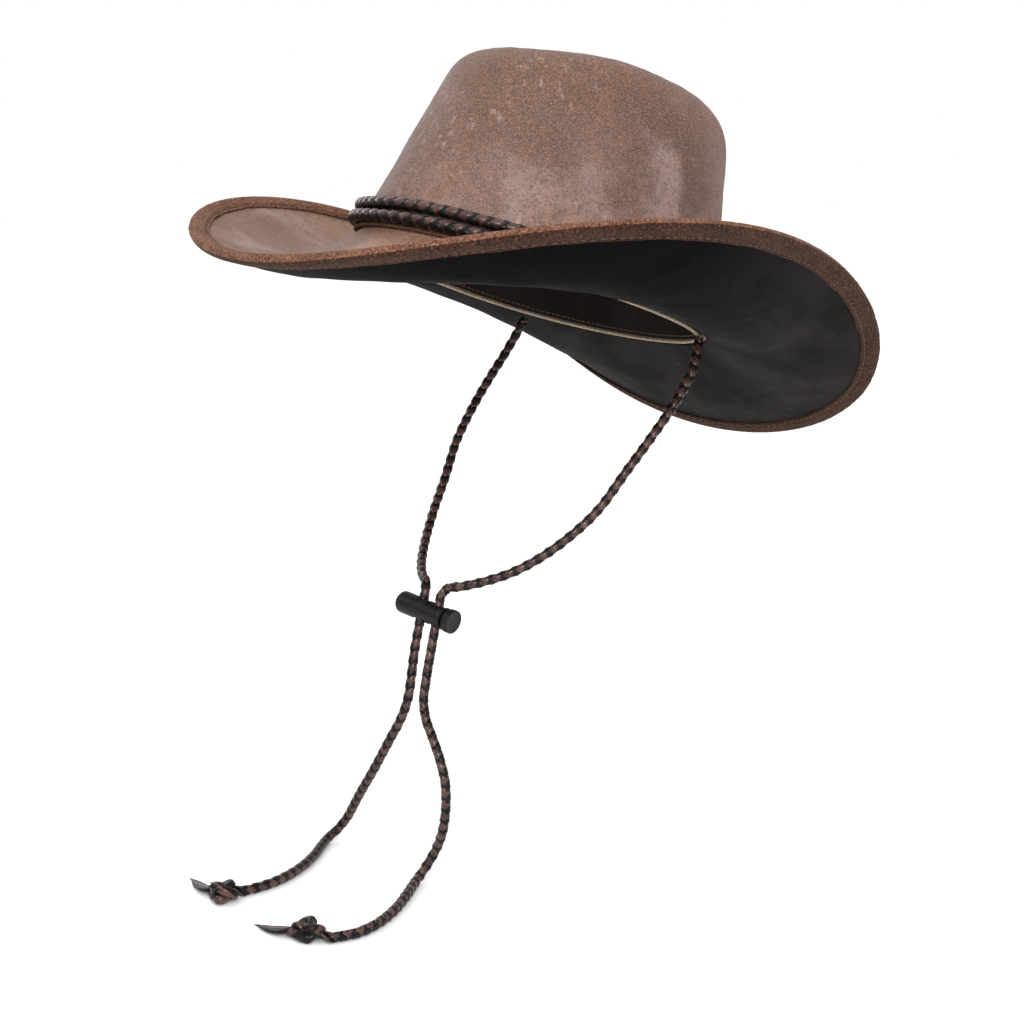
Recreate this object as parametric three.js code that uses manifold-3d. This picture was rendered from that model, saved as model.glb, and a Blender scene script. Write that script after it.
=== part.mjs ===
// Leather cowboy hat with a double braided hat band and a braided chin cord
// drawn up by a sprung cord lock. Millimetres, +Z up, -Y is the wearer's front.
// The origin is the centre of the head opening. The hat is worn tipped back, so
// everything sewn to it is built upright and then turned; the chin cord hangs
// in the level frame.
import * as THREE from 'three';
import { mergeVertices } from 'three/addons/utils/BufferGeometryUtils.js';
import Module from 'manifold-3d';

const wasm = await Module();
wasm.setup();

// ---------------------------------------------------------------- dimensions
const wornTilt = THREE.MathUtils.degToRad(17.5);
const stations = 48;                 // sections round the hat
const gap = 0.3;                     // clearance between pieces that touch

const crown = {
  halfWidth: 85, halfLength: 105,    // outside of the wall at the brim
  topHalfWidth: 64, topFront: 67, topBack: 92,
  frontHeight: 111, sideHeight: 115, backHeight: 110,
  cornerReach: 21, plateauReach: 40, plateauRise: 3,
  thickness: 1.8, dishCentreHeight: 99,
  dentDepth: 7, dentY: -30, dentZ: 80, dentSpan: 27, dentFade: 40,
  footRise: 5.2, footTwist: 3,       // how the foot of the crown climbs at the front
};
const brim = {
  topThickness: 1.6, undersideThickness: 1.2,
  collarHeight: 9, collarInset: 2.1, collarThickness: 1.2,
  collarOutsideFoot: -0.3, collarInsideFoot: -1.2,
  rootInset: 2.6, rootDrop: 0.4,
};
const binding = {
  overlap: 6, roll: 1.2, layerSetback: 3.2, stitchInset: 2,
  bendStart: 1.4, shoulder: 3.6, shoulderDrop: 0.4, tip: 4.4, insideBend: 1.2, insideTip: 3.1,
  wireDiameter: 1.8, wireOut: 1.5,
};
const sweatband = {
  inset: 5.3, thickness: 1.0, top: 30, bottom: -2.8, pipingDiameter: 1.8, stitchHeight: -0.8,
};
const band = {
  diameter: 6.5, standOff: 0.5, lowerHeight: 8.6, upperHeight: 15.5,
  frontRise: 1.5, sideTilt: 4.2, tieLength: 10, tieThickness: 1.2,
};
const anchor = { near: 4, far: 4.9, top: 18, bottom: -2.6, halfSpan: THREE.MathUtils.degToRad(5) };
const seamHeight = 1.2;
const thread = 0.8;
const cord = { diameter: 5.6, sides: 8, stepLength: 7 };
const lock = {
  centre: new THREE.Vector3(-1, -70.5, -161.5), yaw: THREE.MathUtils.degToRad(12),
  lean: THREE.MathUtils.degToRad(17.5), dip: THREE.MathUtils.degToRad(10),
  radius: 5.8, boreRadius: 4.4, closedEnd: -20.3, mouth: 10.6, endWall: 2,
  cordPitch: 10.6, plungerRadius: 4.1, plungerInner: -10.4,
  headStart: 12.9, headEnd: 16.4, headRadius: 6.2, headChamfer: [0.6, 0.8], travel: 2.0,
  noseRounding: [[2.3, 0], [0.7, 0.8], [0, 2.3]],   // [in from the radius, on from the end]
  slant: 1.1,                        // extra length of each hole along the barrel
};
const knot = { length: 9, width: 7.5, height: 7 };
const floorZ = -300;                 // where the tails of the cord come to rest

// ------------------------------------------------------------------ materials
const finish = (color, roughness, metalness = 0) =>
  new THREE.MeshStandardMaterial({ color, roughness, metalness });
const brownLeather = finish(0x6b4638, 0.5);
const suede = finish(0x7a5238, 0.9);
const darkLeather = finish(0x37322f, 0.7);
const braid = finish(0x3a221c, 0.45);
const paleBinding = finish(0xb9a88c, 0.8);
const threadBrown = finish(0x4a2f20, 0.8);
const lacquerBlack = finish(0x151515, 0.4);
const steel = finish(0xb0b0b0, 0.3, 1);

// -------------------------------------------------------------- mesh helpers
const root = new THREE.Group();
const hat = new THREE.Group();
hat.rotation.x = -wornTilt;
root.add(hat);

function addMesh(parent, name, geometry, material) {
  const mesh = new THREE.Mesh(geometry, material);
  mesh.name = name;
  parent.add(mesh);
  return mesh;
}

// Two triangles for a quad, split along its shorter diagonal, so that faces
// which lie against each other are split the same way.
function shortestSplit(positions, p, q, r, s) {
  const at = (i) => new THREE.Vector3().fromArray(positions, 3 * i);
  const alongPR = at(p).distanceTo(at(r)) <= at(q).distanceTo(at(s)) + 1e-6;
  return alongPR ? [p, q, r, p, r, s] : [p, q, s, q, r, s];
}

// A closed body from a grid of points. Each row is a closed or open run of
// points; neighbouring rows are joined, and open grids are capped at both ends.
function bodyFromRows(rows, closedRound) {
  const count = rows[0].length;
  const positions = rows.flat().flatMap((p) => [p.x, p.y, p.z]);
  const index = [];
  const last = closedRound ? rows.length : rows.length - 1;
  for (let i = 0; i < last; i += 1) {
    const a = i * count;
    const b = ((i + 1) % rows.length) * count;
    for (let j = 0; j < count; j += 1) {
      const k = (j + 1) % count;
      index.push(...shortestSplit(positions, a + j, b + j, b + k, a + k));
    }
  }
  if (!closedRound) {
    const end = (rows.length - 1) * count;
    for (let j = 1; j < count - 1; j += 1) {
      index.push(0, j, j + 1);
      index.push(end, end + j + 1, end + j);
    }
  }
  return outward(positions, index);
}

// Faces are turned to point out of the solid by the sign of its volume.
function outward(positions, index) {
  let volume = 0;
  const a = new THREE.Vector3();
  const b = new THREE.Vector3();
  const c = new THREE.Vector3();
  for (let i = 0; i < index.length; i += 3) {
    a.fromArray(positions, 3 * index[i]);
    b.fromArray(positions, 3 * index[i + 1]);
    c.fromArray(positions, 3 * index[i + 2]);
    volume += a.dot(b.cross(c));
  }
  if (volume < 0) {
    for (let i = 0; i < index.length; i += 3) {
      [index[i + 1], index[i + 2]] = [index[i + 2], index[i + 1]];
    }
  }
  const geometry = new THREE.BufferGeometry();
  geometry.setAttribute('position', new THREE.Float32BufferAttribute(positions, 3));
  geometry.setIndex(index);
  geometry.computeVertexNormals();
  return geometry;
}

// One section per station round the hat, joined into a ring.
function ringRound(section) {
  const rows = [];
  for (let i = 0; i < stations; i += 1) rows.push(section((i / stations) * 2 * Math.PI));
  return bodyFromRows(rows, true);
}

function toManifold(geometry) {
  const bare = geometry.clone();
  bare.deleteAttribute('normal');
  bare.deleteAttribute('uv');
  const merged = mergeVertices(bare, 1e-4);
  return new wasm.Manifold(new wasm.Mesh({
    numProp: 3,
    vertProperties: new Float32Array(merged.attributes.position.array),
    triVerts: new Uint32Array(merged.index.array),
  }));
}

function fromManifold(solid) {
  const mesh = solid.getMesh();
  const geometry = new THREE.BufferGeometry();
  geometry.setAttribute('position', new THREE.BufferAttribute(mesh.vertProperties, 3));
  geometry.setIndex(new THREE.BufferAttribute(mesh.triVerts, 1));
  geometry.computeVertexNormals();
  return geometry;
}

const mix = (a, b, t) => a.clone().lerp(b, t);
const smooth = (k) => k * k * (3 - 2 * k);

// ----------------------------------------------------------------- hat shapes
// Front (angle 0) is -Y and a quarter turn is +X, the wearer's left.
function oval(angle, inset, z) {
  return new THREE.Vector3(
    (crown.halfWidth - inset) * Math.sin(angle),
    -(crown.halfLength - inset) * Math.cos(angle),
    z,
  );
}

// A soft dent pressed into each side near the front of the crown.
function pressDents(p) {
  const across = Math.min(1, Math.abs(p.x) / crown.dentFade);
  const away = ((p.y - crown.dentY) ** 2 + (p.z - crown.dentZ) ** 2) / crown.dentSpan ** 2;
  p.x -= Math.sign(p.x) * crown.dentDepth * across * Math.exp(-away);
  return p;
}

// Height of the crown's foot: it climbs towards the front, more on the right.
function footHeight(angle) {
  const frontness = (1 + Math.cos(angle)) / 2;
  return crown.footRise * frontness ** 1.5 - crown.footTwist * Math.sin(angle) * frontness;
}

// Crown surface: v runs 0 to 1 up the wall, 1 to 2 over the top corner and
// 2 to 3 down the dish to the middle of the top.
function crownPoint(angle, v, inset) {
  const s = Math.sin(angle);
  const c = Math.cos(angle);
  const middle = (crown.topBack - crown.topFront) / 2;
  const half = (crown.topBack + crown.topFront) / 2 - inset;
  const wide = crown.topHalfWidth - inset;
  const endsMean = (crown.frontHeight + crown.backHeight) / 2;
  const height = crown.sideHeight + ((crown.frontHeight - crown.backHeight) / 2) * c
    + (endsMean - crown.sideHeight) * c * c - inset;
  const reach = crown.plateauReach;
  const ground = oval(angle, inset, 0);
  const corner = new THREE.Vector3(wide * s, middle - half * c, height);
  const inner = new THREE.Vector3(
    (wide - reach) * s, middle - (half - reach) * c, height + crown.plateauRise,
  );
  const wallEnd = corner.clone().add(
    ground.clone().sub(corner).setLength(crown.cornerReach),
  );
  const base = mix(ground, wallEnd, footHeight(angle) / wallEnd.z);
  const ridge = corner.clone().add(
    inner.clone().sub(corner).setLength(crown.cornerReach),
  );
  if (v <= 1) return pressDents(mix(base, wallEnd, v));
  if (v <= 2) {
    const t = v - 1;
    return pressDents(mix(mix(wallEnd, corner, t), mix(corner, ridge, t), t));
  }
  const k = 3 - v;
  const centre = new THREE.Vector3(0, middle, ridge.z);
  const p = mix(centre, ridge, k);
  const low = crown.dishCentreHeight - inset;
  p.z = low + (ridge.z - low) * smooth(k);
  return pressDents(p);
}

// A point on the lowest, straight part of the wall, or on its line carried down.
const straightWall = 0.35;
function wallPoint(angle, z, inset) {
  const low = crownPoint(angle, 0, inset);
  const high = crownPoint(angle, straightWall, inset);
  return mix(low, high, (z - low.z) / (high.z - low.z));
}

// The same, with the height measured from the foot of the crown.
const footPoint = (angle, aboveFoot, inset) =>
  wallPoint(angle, footHeight(angle) + aboveFoot, inset);

// Outer line of the brim: an oval whose sides are rolled up and whose front and
// back are drawn down.
function rimPoint(angle) {
  const harmonic = (n) => [Math.cos(n * angle), Math.sin(n * angle)];
  const [c1, s1] = harmonic(1);
  const [c2] = harmonic(2);
  const [c3, s3] = harmonic(3);
  const [c4, s4] = harmonic(4);
  return new THREE.Vector3(
    172.5 * s1 + 7.5 * s3 - 5 * s4,
    2.5 - 177 * c1 - 3.5 * c2 + 2 * c3,
    2.5 + 2 * c1 - 34 * c2 + 2 * c3 - 1.3 * c4,
  );
}

// Brim surface: t is 0 at the crown and 1 at the rim. The brim first falls
// away from the crown, most at the front, and then curls to the rim's height.
function brimPoint(angle, t) {
  const brimRoot = footPoint(angle, -brim.rootDrop, brim.rootInset);
  const rim = rimPoint(angle);
  const sag = 12.4 + 4.4 * Math.cos(angle) + 5.7 * Math.cos(2 * angle);
  const p = mix(brimRoot, rim, t);
  p.z = brimRoot.z + (rim.z - brimRoot.z) * t * t
    - sag * Math.sin(Math.PI * t) * (1.2 - 0.4 * t);
  return p;
}

function brimNormal(angle, t) {
  const step = 0.01;
  const alongAngle = brimPoint(angle + step, t).sub(brimPoint(angle - step, t));
  const alongT = brimPoint(angle, t + step).sub(brimPoint(angle, t - step));
  const n = alongT.cross(alongAngle).normalize();
  return n.z < 0 ? n.negate() : n;
}

// A point a distance above (or below) the brim's top face.
function brimOffset(angle, t, distance) {
  return brimPoint(angle, t).addScaledVector(brimNormal(angle, t), distance);
}

function rimStep(angle) {
  return brimPoint(angle, 1).distanceTo(brimPoint(angle, 0.98)) / 0.02;
}

// A point given by its distance outward from the edge of the leather layers
// and its height above the brim's top face there.
function rimSection(angle, outwardBy, heightAbove) {
  const t = 1 + (outwardBy - binding.layerSetback) / rimStep(angle);
  return brimOffset(angle, t, heightAbove);
}

function circleSection(centre, radius, sides, outDirection, upDirection) {
  const points = [];
  for (let i = 0; i < sides; i += 1) {
    const a = ((i + 0.5) / sides) * 2 * Math.PI;
    points.push(centre.clone()
      .addScaledVector(outDirection, radius * Math.cos(a))
      .addScaledVector(upDirection, radius * Math.sin(a)));
  }
  return points;
}

const up = new THREE.Vector3(0, 0, 1);
const outAt = (angle) => new THREE.Vector3(
  Math.sin(angle) / crown.halfWidth, -Math.cos(angle) / crown.halfLength, 0,
).normalize();

// ---------------------------------------------------------------------- crown
// An open-bottomed shell: up the outside to the top's middle, down the inside.
function crownGeometry() {
  const wall = [0, straightWall, 0.6, 0.8, 1];
  const over = [1.33, 1.66, 2];
  const dish = [2.3, 2.65];
  const heights = [...wall, ...over, ...dish];
  const positions = [];
  const index = [];
  const push = (p) => positions.push(p.x, p.y, p.z) / 3 - 1;
  const ring = (v, inset) => {
    const ids = [];
    for (let i = 0; i < stations; i += 1) {
      ids.push(push(crownPoint((i / stations) * 2 * Math.PI, v, inset)));
    }
    return ids;
  };
  const outer = heights.map((v) => ring(v, 0));
  const inner = heights.map((v) => ring(v, crown.thickness));
  const outerTop = push(crownPoint(0, 3, 0));
  const innerTop = push(crownPoint(0, 3, crown.thickness));
  const join = (a, b) => {
    for (let i = 0; i < stations; i += 1) {
      const j = (i + 1) % stations;
      index.push(...shortestSplit(positions, a[i], a[j], b[j], b[i]));
    }
  };
  for (let r = 0; r < heights.length - 1; r += 1) {
    join(outer[r], outer[r + 1]);
    join(inner[r + 1], inner[r]);
  }
  join(inner[0], outer[0]);
  for (let i = 0; i < stations; i += 1) {
    const j = (i + 1) % stations;
    index.push(outer.at(-1)[i], outer.at(-1)[j], outerTop);
    index.push(inner.at(-1)[j], inner.at(-1)[i], innerTop);
  }
  return outward(positions, index);
}
addMesh(hat, 'crown', crownGeometry(), brownLeather);

// ----------------------------------------------------------------------- brim
// Both leather layers share these stations, so that they lie face to face. The
// last two are the binding's inner edge and the edge of the leather.
function brimStations(angle) {
  const step = rimStep(angle);
  const leatherEdge = 1 - binding.layerSetback / step;
  const bindingEdge = leatherEdge - binding.overlap / step;
  return [0.03, 0.1, 0.21, 0.35, 0.52, 0.7, bindingEdge, leatherEdge];
}
const spread = (from, to, count) =>
  Array.from({ length: count }, (_, i) => from + ((to - from) * i) / (count - 1));

function brimTopSection(angle) {
  const ts = brimStations(angle);
  const collar = brim.collarInset;
  const inside = collar + brim.collarThickness;
  return [
    footPoint(angle, brim.collarHeight, collar),
    footPoint(angle, brim.collarOutsideFoot, collar),
    ...ts.map((t) => brimOffset(angle, t, 0)),
    ...ts.slice().reverse().map((t) => brimOffset(angle, t, -brim.topThickness)),
    footPoint(angle, brim.collarInsideFoot, inside),
    footPoint(angle, brim.collarHeight, inside),
  ];
}
addMesh(hat, 'brim_top', ringRound(brimTopSection), brownLeather);

const undersideTop = -(brim.topThickness + gap);
const undersideBottom = undersideTop - brim.undersideThickness;
function brimUndersideSection(angle) {
  const ts = brimStations(angle);
  return [
    ...ts.map((t) => brimOffset(angle, t, undersideTop)),
    ...ts.slice().reverse().map((t) => brimOffset(angle, t, undersideBottom)),
  ];
}
addMesh(hat, 'brim_underside', ringRound(brimUndersideSection), darkLeather);

// --------------------------------------------------------------- edge binding
// A suede strip folded over the edge, with a shaping wire inside the fold.
const middleOfLayers = undersideBottom / 2;
function bindingSection(angle) {
  const { overlap, roll, bendStart, shoulder, shoulderDrop, tip, insideBend, insideTip } = binding;
  const outer = [
    [-overlap, gap + roll], [bendStart, gap + roll], [shoulder, shoulderDrop],
    [tip, middleOfLayers],
    [shoulder, undersideBottom - shoulderDrop], [bendStart, undersideBottom - gap - roll],
    [-overlap, undersideBottom - gap - roll],
  ];
  const inner = [
    [-overlap, undersideBottom - gap], [insideBend, undersideBottom - gap],
    [insideTip, middleOfLayers], [insideBend, gap], [-overlap, gap],
  ];
  return [...outer, ...inner].map(([out, high]) => rimSection(angle, out, high));
}
addMesh(hat, 'edge_binding', ringRound(bindingSection), suede);

function wireSection(angle) {
  const centre = rimSection(angle, binding.wireOut, middleOfLayers);
  const out = rimSection(angle, binding.wireOut + 1, middleOfLayers).sub(centre).normalize();
  const radius = binding.wireDiameter / 2;
  return circleSection(centre, radius, 5, out, brimNormal(angle, 1));
}
addMesh(hat, 'edge_wire', ringRound(wireSection), steel);

function stitchSection(heightAbove) {
  return (angle) => {
    const from = binding.stitchInset - binding.overlap;
    const centre = rimSection(angle, from, heightAbove);
    const out = rimSection(angle, from + 1, heightAbove).sub(centre).normalize();
    return circleSection(centre, thread / 2, 4, out, brimNormal(angle, 1));
  };
}
const aboveBinding = gap + binding.roll + gap + thread / 2;
addMesh(hat, 'binding_stitch_top', ringRound(stitchSection(aboveBinding)), threadBrown);
addMesh(hat, 'binding_stitch_underside',
  ringRound(stitchSection(undersideBottom - aboveBinding)), threadBrown);

// ------------------------------------------------------------------ sweatband
function sweatbandSection(angle) {
  const near = sweatband.inset;
  const far = near + sweatband.thickness;
  return [
    wallPoint(angle, sweatband.top, near), footPoint(angle, 0, near),
    footPoint(angle, sweatband.bottom, near), footPoint(angle, sweatband.bottom, far),
    footPoint(angle, 0, far), wallPoint(angle, sweatband.top, far),
  ];
}
addMesh(hat, 'sweatband', ringRound(sweatbandSection), darkLeather);

function pipingSection(angle) {
  const radius = sweatband.pipingDiameter / 2;
  const aboveFoot = sweatband.bottom - gap - radius;
  const centre = footPoint(angle, aboveFoot, sweatband.inset + sweatband.thickness / 2);
  return circleSection(centre, radius, 6, outAt(angle), up);
}
addMesh(hat, 'sweatband_piping', ringRound(pipingSection), paleBinding);

function sweatbandStitchSection(angle) {
  const inset = sweatband.inset + sweatband.thickness + gap + thread / 2;
  const centre = footPoint(angle, sweatband.stitchHeight, inset);
  return circleSection(centre, thread / 2, 4, outAt(angle), up);
}
addMesh(hat, 'sweatband_stitch', ringRound(sweatbandStitchSection), threadBrown);

// The seam that sews the crown's foot to the collar of the brim, outside.
function crownSeamSection(angle) {
  const centre = footPoint(angle, seamHeight, -(gap + thread / 2 + 0.1));
  return circleSection(centre, thread / 2, 4, outAt(angle), up);
}
addMesh(hat, 'crown_seam_stitch', ringRound(crownSeamSection), threadBrown);

// ------------------------------------------------------------------- hat band
// Two turns of braided cord round the foot of the crown, tied at the back.
const bandRadius = band.diameter / 2;
function bandCentre(angle, height) {
  const raised = height + band.frontRise * Math.cos(angle) - band.sideTilt * Math.sin(angle);
  return wallPoint(angle, raised, -(band.standOff + bandRadius));
}
for (const [name, height] of [['lower', band.lowerHeight], ['upper', band.upperHeight]]) {
  const section = (angle) =>
    circleSection(bandCentre(angle, height), bandRadius, 8, outAt(angle), up);
  addMesh(hat, `hat_band_${name}`, ringRound(section), braid);
}

// A short leather sleeve holds the two turns together at the back.
function hatBandTie() {
  const angle = Math.PI;
  const wallSide = 0.1;
  const clear = bandRadius + gap;
  const low = bandCentre(angle, band.lowerHeight);
  const high = bandCentre(angle, band.upperHeight);
  const out = outAt(angle);
  const rise = high.clone().sub(low).normalize();
  const loop = (margin, wall) => [
    low.clone().addScaledVector(rise, -margin).addScaledVector(out, -wall),
    high.clone().addScaledVector(rise, margin).addScaledVector(out, -wall),
    high.clone().addScaledVector(rise, margin).addScaledVector(out, margin),
    low.clone().addScaledVector(rise, -margin).addScaledVector(out, margin),
  ];
  const frame = (points, shift) => points.map((p) => p.clone().setX(shift));
  const halfLength = band.tieLength / 2;
  const block = (points, reach) =>
    toManifold(bodyFromRows([frame(points, -reach), frame(points, reach)], false));
  const outerBlock = block(loop(clear + band.tieThickness, clear + wallSide), halfLength);
  const hollow = block(loop(clear, clear), halfLength + 1);
  return fromManifold(outerBlock.subtract(hollow));
}
addMesh(hat, 'hat_band_tie', hatBandTie(), braid);

// ---------------------------------------------------------------- cord anchors
// Each end of the chin cord is flattened into a tab sewn in behind the
// sweatband.
const exitAngle = THREE.MathUtils.degToRad(126);
function anchorTab(centreAngle) {
  const { near, far, top, bottom, halfSpan } = anchor;
  const rows = spread(centreAngle - halfSpan, centreAngle + halfSpan, 3).map((angle) => [
    footPoint(angle, top, near), footPoint(angle, 0, near), footPoint(angle, bottom, near),
    footPoint(angle, bottom, far), footPoint(angle, 0, far), footPoint(angle, top, far),
  ]);
  return bodyFromRows(rows, false);
}
addMesh(hat, 'cord_anchor_left', anchorTab(exitAngle), braid);
addMesh(hat, 'cord_anchor_right', anchorTab(-exitAngle), braid);

// ------------------------------------------------------------------ cord lock
const cordOffset = lock.cordPitch / 2;
const lockGroup = new THREE.Group();
lockGroup.position.copy(lock.centre);
lockGroup.rotation.set(-lock.lean, lock.dip, lock.yaw, 'ZXY');
root.add(lockGroup);
const lockAxis = new THREE.Vector3(1, 0, 0).applyEuler(lockGroup.rotation);
// The way the cords run down through the lock, and the lock slides. The lock
// hangs askew on them, so that its holes are longer than they are wide.
const cordDirection = new THREE.Vector3(0, 0, -1)
  .applyEuler(new THREE.Euler(-lock.lean, 0, lock.yaw, 'ZXY'));

const turned = (profile, segments) => {
  const points = profile.map(([radius, along]) => new THREE.Vector2(radius, along));
  return new THREE.LatheGeometry(points, segments).rotateZ(-Math.PI / 2);
};
const crossHole = (x, radius) => toManifold(
  new THREE.CylinderGeometry(radius, radius, 20, 20).rotateX(Math.PI / 2)
    .scale(1 + lock.slant / radius, 1, 1).translate(x, 0, 0),
);

function lockBarrel() {
  const { radius, boreRadius, closedEnd, mouth, endWall, noseRounding } = lock;
  let solid = toManifold(turned([
    [0, closedEnd], ...noseRounding.map(([inwards, on]) => [radius - inwards, closedEnd + on]),
    [radius, mouth], [boreRadius, mouth],
    [boreRadius, closedEnd + endWall], [0, closedEnd + endWall],
  ], 24));
  for (const side of [-1, 1]) {
    solid = solid.subtract(crossHole(side * cordOffset, cord.diameter / 2 + gap));
  }
  return fromManifold(solid);
}
addMesh(lockGroup, 'lock_barrel', lockBarrel(), lacquerBlack);

// The plunger with its button. Its two slots let the cords through when it is
// pushed in; the spring pushes it out and the slots' inner ends grip the cords.
function lockButton() {
  const { plungerRadius, plungerInner, headStart, headEnd, headRadius, travel } = lock;
  const [chamferIn, chamferBack] = lock.headChamfer;
  let solid = toManifold(turned([
    [0, plungerInner], [plungerRadius, plungerInner], [plungerRadius, headStart],
    [headRadius, headStart], [headRadius, headEnd - chamferBack],
    [headRadius - chamferIn, headEnd],
    [0, headEnd],
  ], 24));
  const reach = cord.diameter / 2 + gap;
  for (const side of [-1, 1]) {
    const slot = new THREE.BoxGeometry(2 * (reach + lock.slant) + travel, 2 * reach, 20)
      .translate(side * cordOffset + travel / 2, 0, 0);
    solid = solid.subtract(toManifold(slot));
  }
  return fromManifold(solid);
}
addMesh(lockGroup, 'lock_button', lockButton(), lacquerBlack);

class Helix extends THREE.Curve {
  constructor(radius, start, length, turns) {
    super();
    Object.assign(this, { radius, start, length, turns });
  }

  getPoint(t) {
    const a = 2 * Math.PI * this.turns * t;
    return new THREE.Vector3(
      this.start + this.length * t, this.radius * Math.cos(a), this.radius * Math.sin(a),
    );
  }
}

function roundTube(curve, steps, radius, sides) {
  const shape = new THREE.Shape(
    Array.from({ length: sides }, (_, i) => {
      const a = (i / sides) * 2 * Math.PI;
      return new THREE.Vector2(radius * Math.cos(a), radius * Math.sin(a));
    }),
  );
  return new THREE.ExtrudeGeometry(shape, { steps, extrudePath: curve, bevelEnabled: false });
}

const spring = { wireRadius: 0.35, coilRadius: 3.1, turns: 3.5 };
const springStart = lock.closedEnd + lock.endWall + gap + spring.wireRadius;
const springLength = lock.plungerInner - gap - spring.wireRadius - springStart;
const springHelix = new Helix(spring.coilRadius, springStart, springLength, spring.turns);
addMesh(lockGroup, 'lock_spring', roundTube(springHelix, 35, spring.wireRadius, 5), steel);

// ----------------------------------------------------------------- chin cord
// The left and right runs go from under the sweatband round the jaw, down
// through the lock side by side and on as two tails that end in a knot.
const cordExit = { inset: 2.4, height: -7 };
const exitPoint = (angle) => oval(angle, cordExit.inset, cordExit.height)
  .applyAxisAngle(new THREE.Vector3(1, 0, 0), -wornTilt);
const point = (x, y, z) => new THREE.Vector3(x, y, z);
const jawRun = [
  point(70.5, 46, -41), point(71, 33, -56), point(69.5, 19, -71), point(66, 4, -88),
  point(60, -10, -107), point(53, -23, -120), point(44, -36, -131), point(34.5, -47, -138.5),
  point(25, -56, -143), point(16, -62.5, -146),
];
const tailOfLeft = [
  point(6.6, -79.5, -194), point(7.5, -82, -204), point(11, -83.5, -213),
  point(17, -84.2, -221.5), point(23.5, -85, -231), point(27.5, -85, -242),
  point(27.5, -84.5, -254), point(23.5, -83, -268), point(17, -81.5, -280),
  point(12, -83.5, -290), point(12, -89.5, -295.6), point(16.5, -97.5, -297),
  point(25, -109, -297), point(35.5, -125, -297), point(43.5, -143, -297),
  point(45.5, -156, -297), point(42, -169, -297),
];
const tailOfRight = [
  point(-3.4, -81, -193.5), point(-3.2, -83, -203), point(-5.5, -84, -211.5),
  point(-10, -84.5, -220), point(-16, -85, -229), point(-24, -85, -240.5),
  point(-33, -84.5, -252.5), point(-42.5, -83.5, -264), point(-52, -82, -275.5),
  point(-60, -81, -285.5), point(-65.5, -83.5, -293), point(-66, -90, -296.7),
  point(-60.5, -98, -297), point(-50.5, -111, -297), point(-42, -125.5, -297),
  point(-36, -141, -297), point(-34, -155, -297), point(-35, -167, -297),
];

// The stretch in and below the lock is straight, because the lock slides on it.
const aboveLock = -13.5;
const straightStretch = [-9.5, -6, 0, 7, 14, 20.5];
function cordRoute(side, tail) {
  const through = lock.centre.clone().addScaledVector(lockAxis, side * cordOffset);
  const at = (distance) => through.clone().addScaledVector(cordDirection, distance);
  const start = exitPoint(side * exitAngle);
  const jaw = jawRun.map((p) => point(side * p.x, p.y, p.z));
  const turn = mix(at(aboveLock), jaw.at(-1), 0.25);
  return [start, ...jaw, turn, ...straightStretch.map(at), ...tail];
}
function addCord(name, side, tail) {
  const curve = new THREE.CatmullRomCurve3(cordRoute(side, tail), false, 'centripetal');
  const steps = Math.round(curve.getLength() / cord.stepLength);
  addMesh(root, name, roundTube(curve, steps, cord.diameter / 2, cord.sides), braid);
}
addCord('chin_cord_left', 1, tailOfLeft);
addCord('chin_cord_right', -1, tailOfRight);

// An overhand knot and, past it, the unbraided ends of the laces.
function tailKnot(centre, heading) {
  const body = new THREE.SphereGeometry(1, 14, 8).scale(knot.length, knot.width, knot.height);
  return body.rotateZ(heading).translate(centre.x, centre.y, centre.z);
}
function looseEnds(start, end) {
  const sides = 6;
  const ring = (p, wide, high) => {
    const along = end.clone().sub(start).setZ(0).normalize();
    const across = new THREE.Vector3(-along.y, along.x, 0);
    return Array.from({ length: sides }, (_, i) => {
      const a = (i / sides) * 2 * Math.PI;
      return p.clone().addScaledVector(across, wide * Math.cos(a))
        .addScaledVector(up, high * Math.sin(a));
    });
  };
  const outline = [[0, 3.2, 3], [0.4, 4.2, 2.8], [0.75, 3, 2], [1, 1, 1.2]];
  const rows = outline.map(([along, wide, high]) => ring(mix(start, end, along), wide, high));
  return bodyFromRows(rows, false);
}
const knotHeight = floorZ + 7.6;
const tipHeight = floorZ + 2.2;
const knots = [
  { name: 'left', centre: point(31, -176, knotHeight), tip: point(1, -184, tipHeight) },
  { name: 'right', centre: point(-36.5, -179, knotHeight), tip: point(-70.5, -174, tipHeight) },
];
const endsFromKnot = 9.8;
const endsHeight = floorZ + 4;
for (const { name, centre, tip } of knots) {
  const way = tip.clone().sub(centre).setZ(0);
  const start = centre.clone().addScaledVector(way.clone().normalize(), endsFromKnot);
  start.z = endsHeight;
  addMesh(root, `tail_knot_${name}`, tailKnot(centre, Math.atan2(way.y, way.x)), braid);
  addMesh(root, `tail_ends_${name}`, looseEnds(start, tip), braid);
}

export default root;
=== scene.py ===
"""Looks of the leather cowboy hat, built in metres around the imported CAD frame.

Hat pieces are worked out in millimetres in the hat's own upright frame, where the
front is -Y and the wearer's left is +X, then tipped back as the hat is worn.
"""
import math

import bmesh
import bpy
import numpy as np
from mathutils import Matrix, Vector


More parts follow.
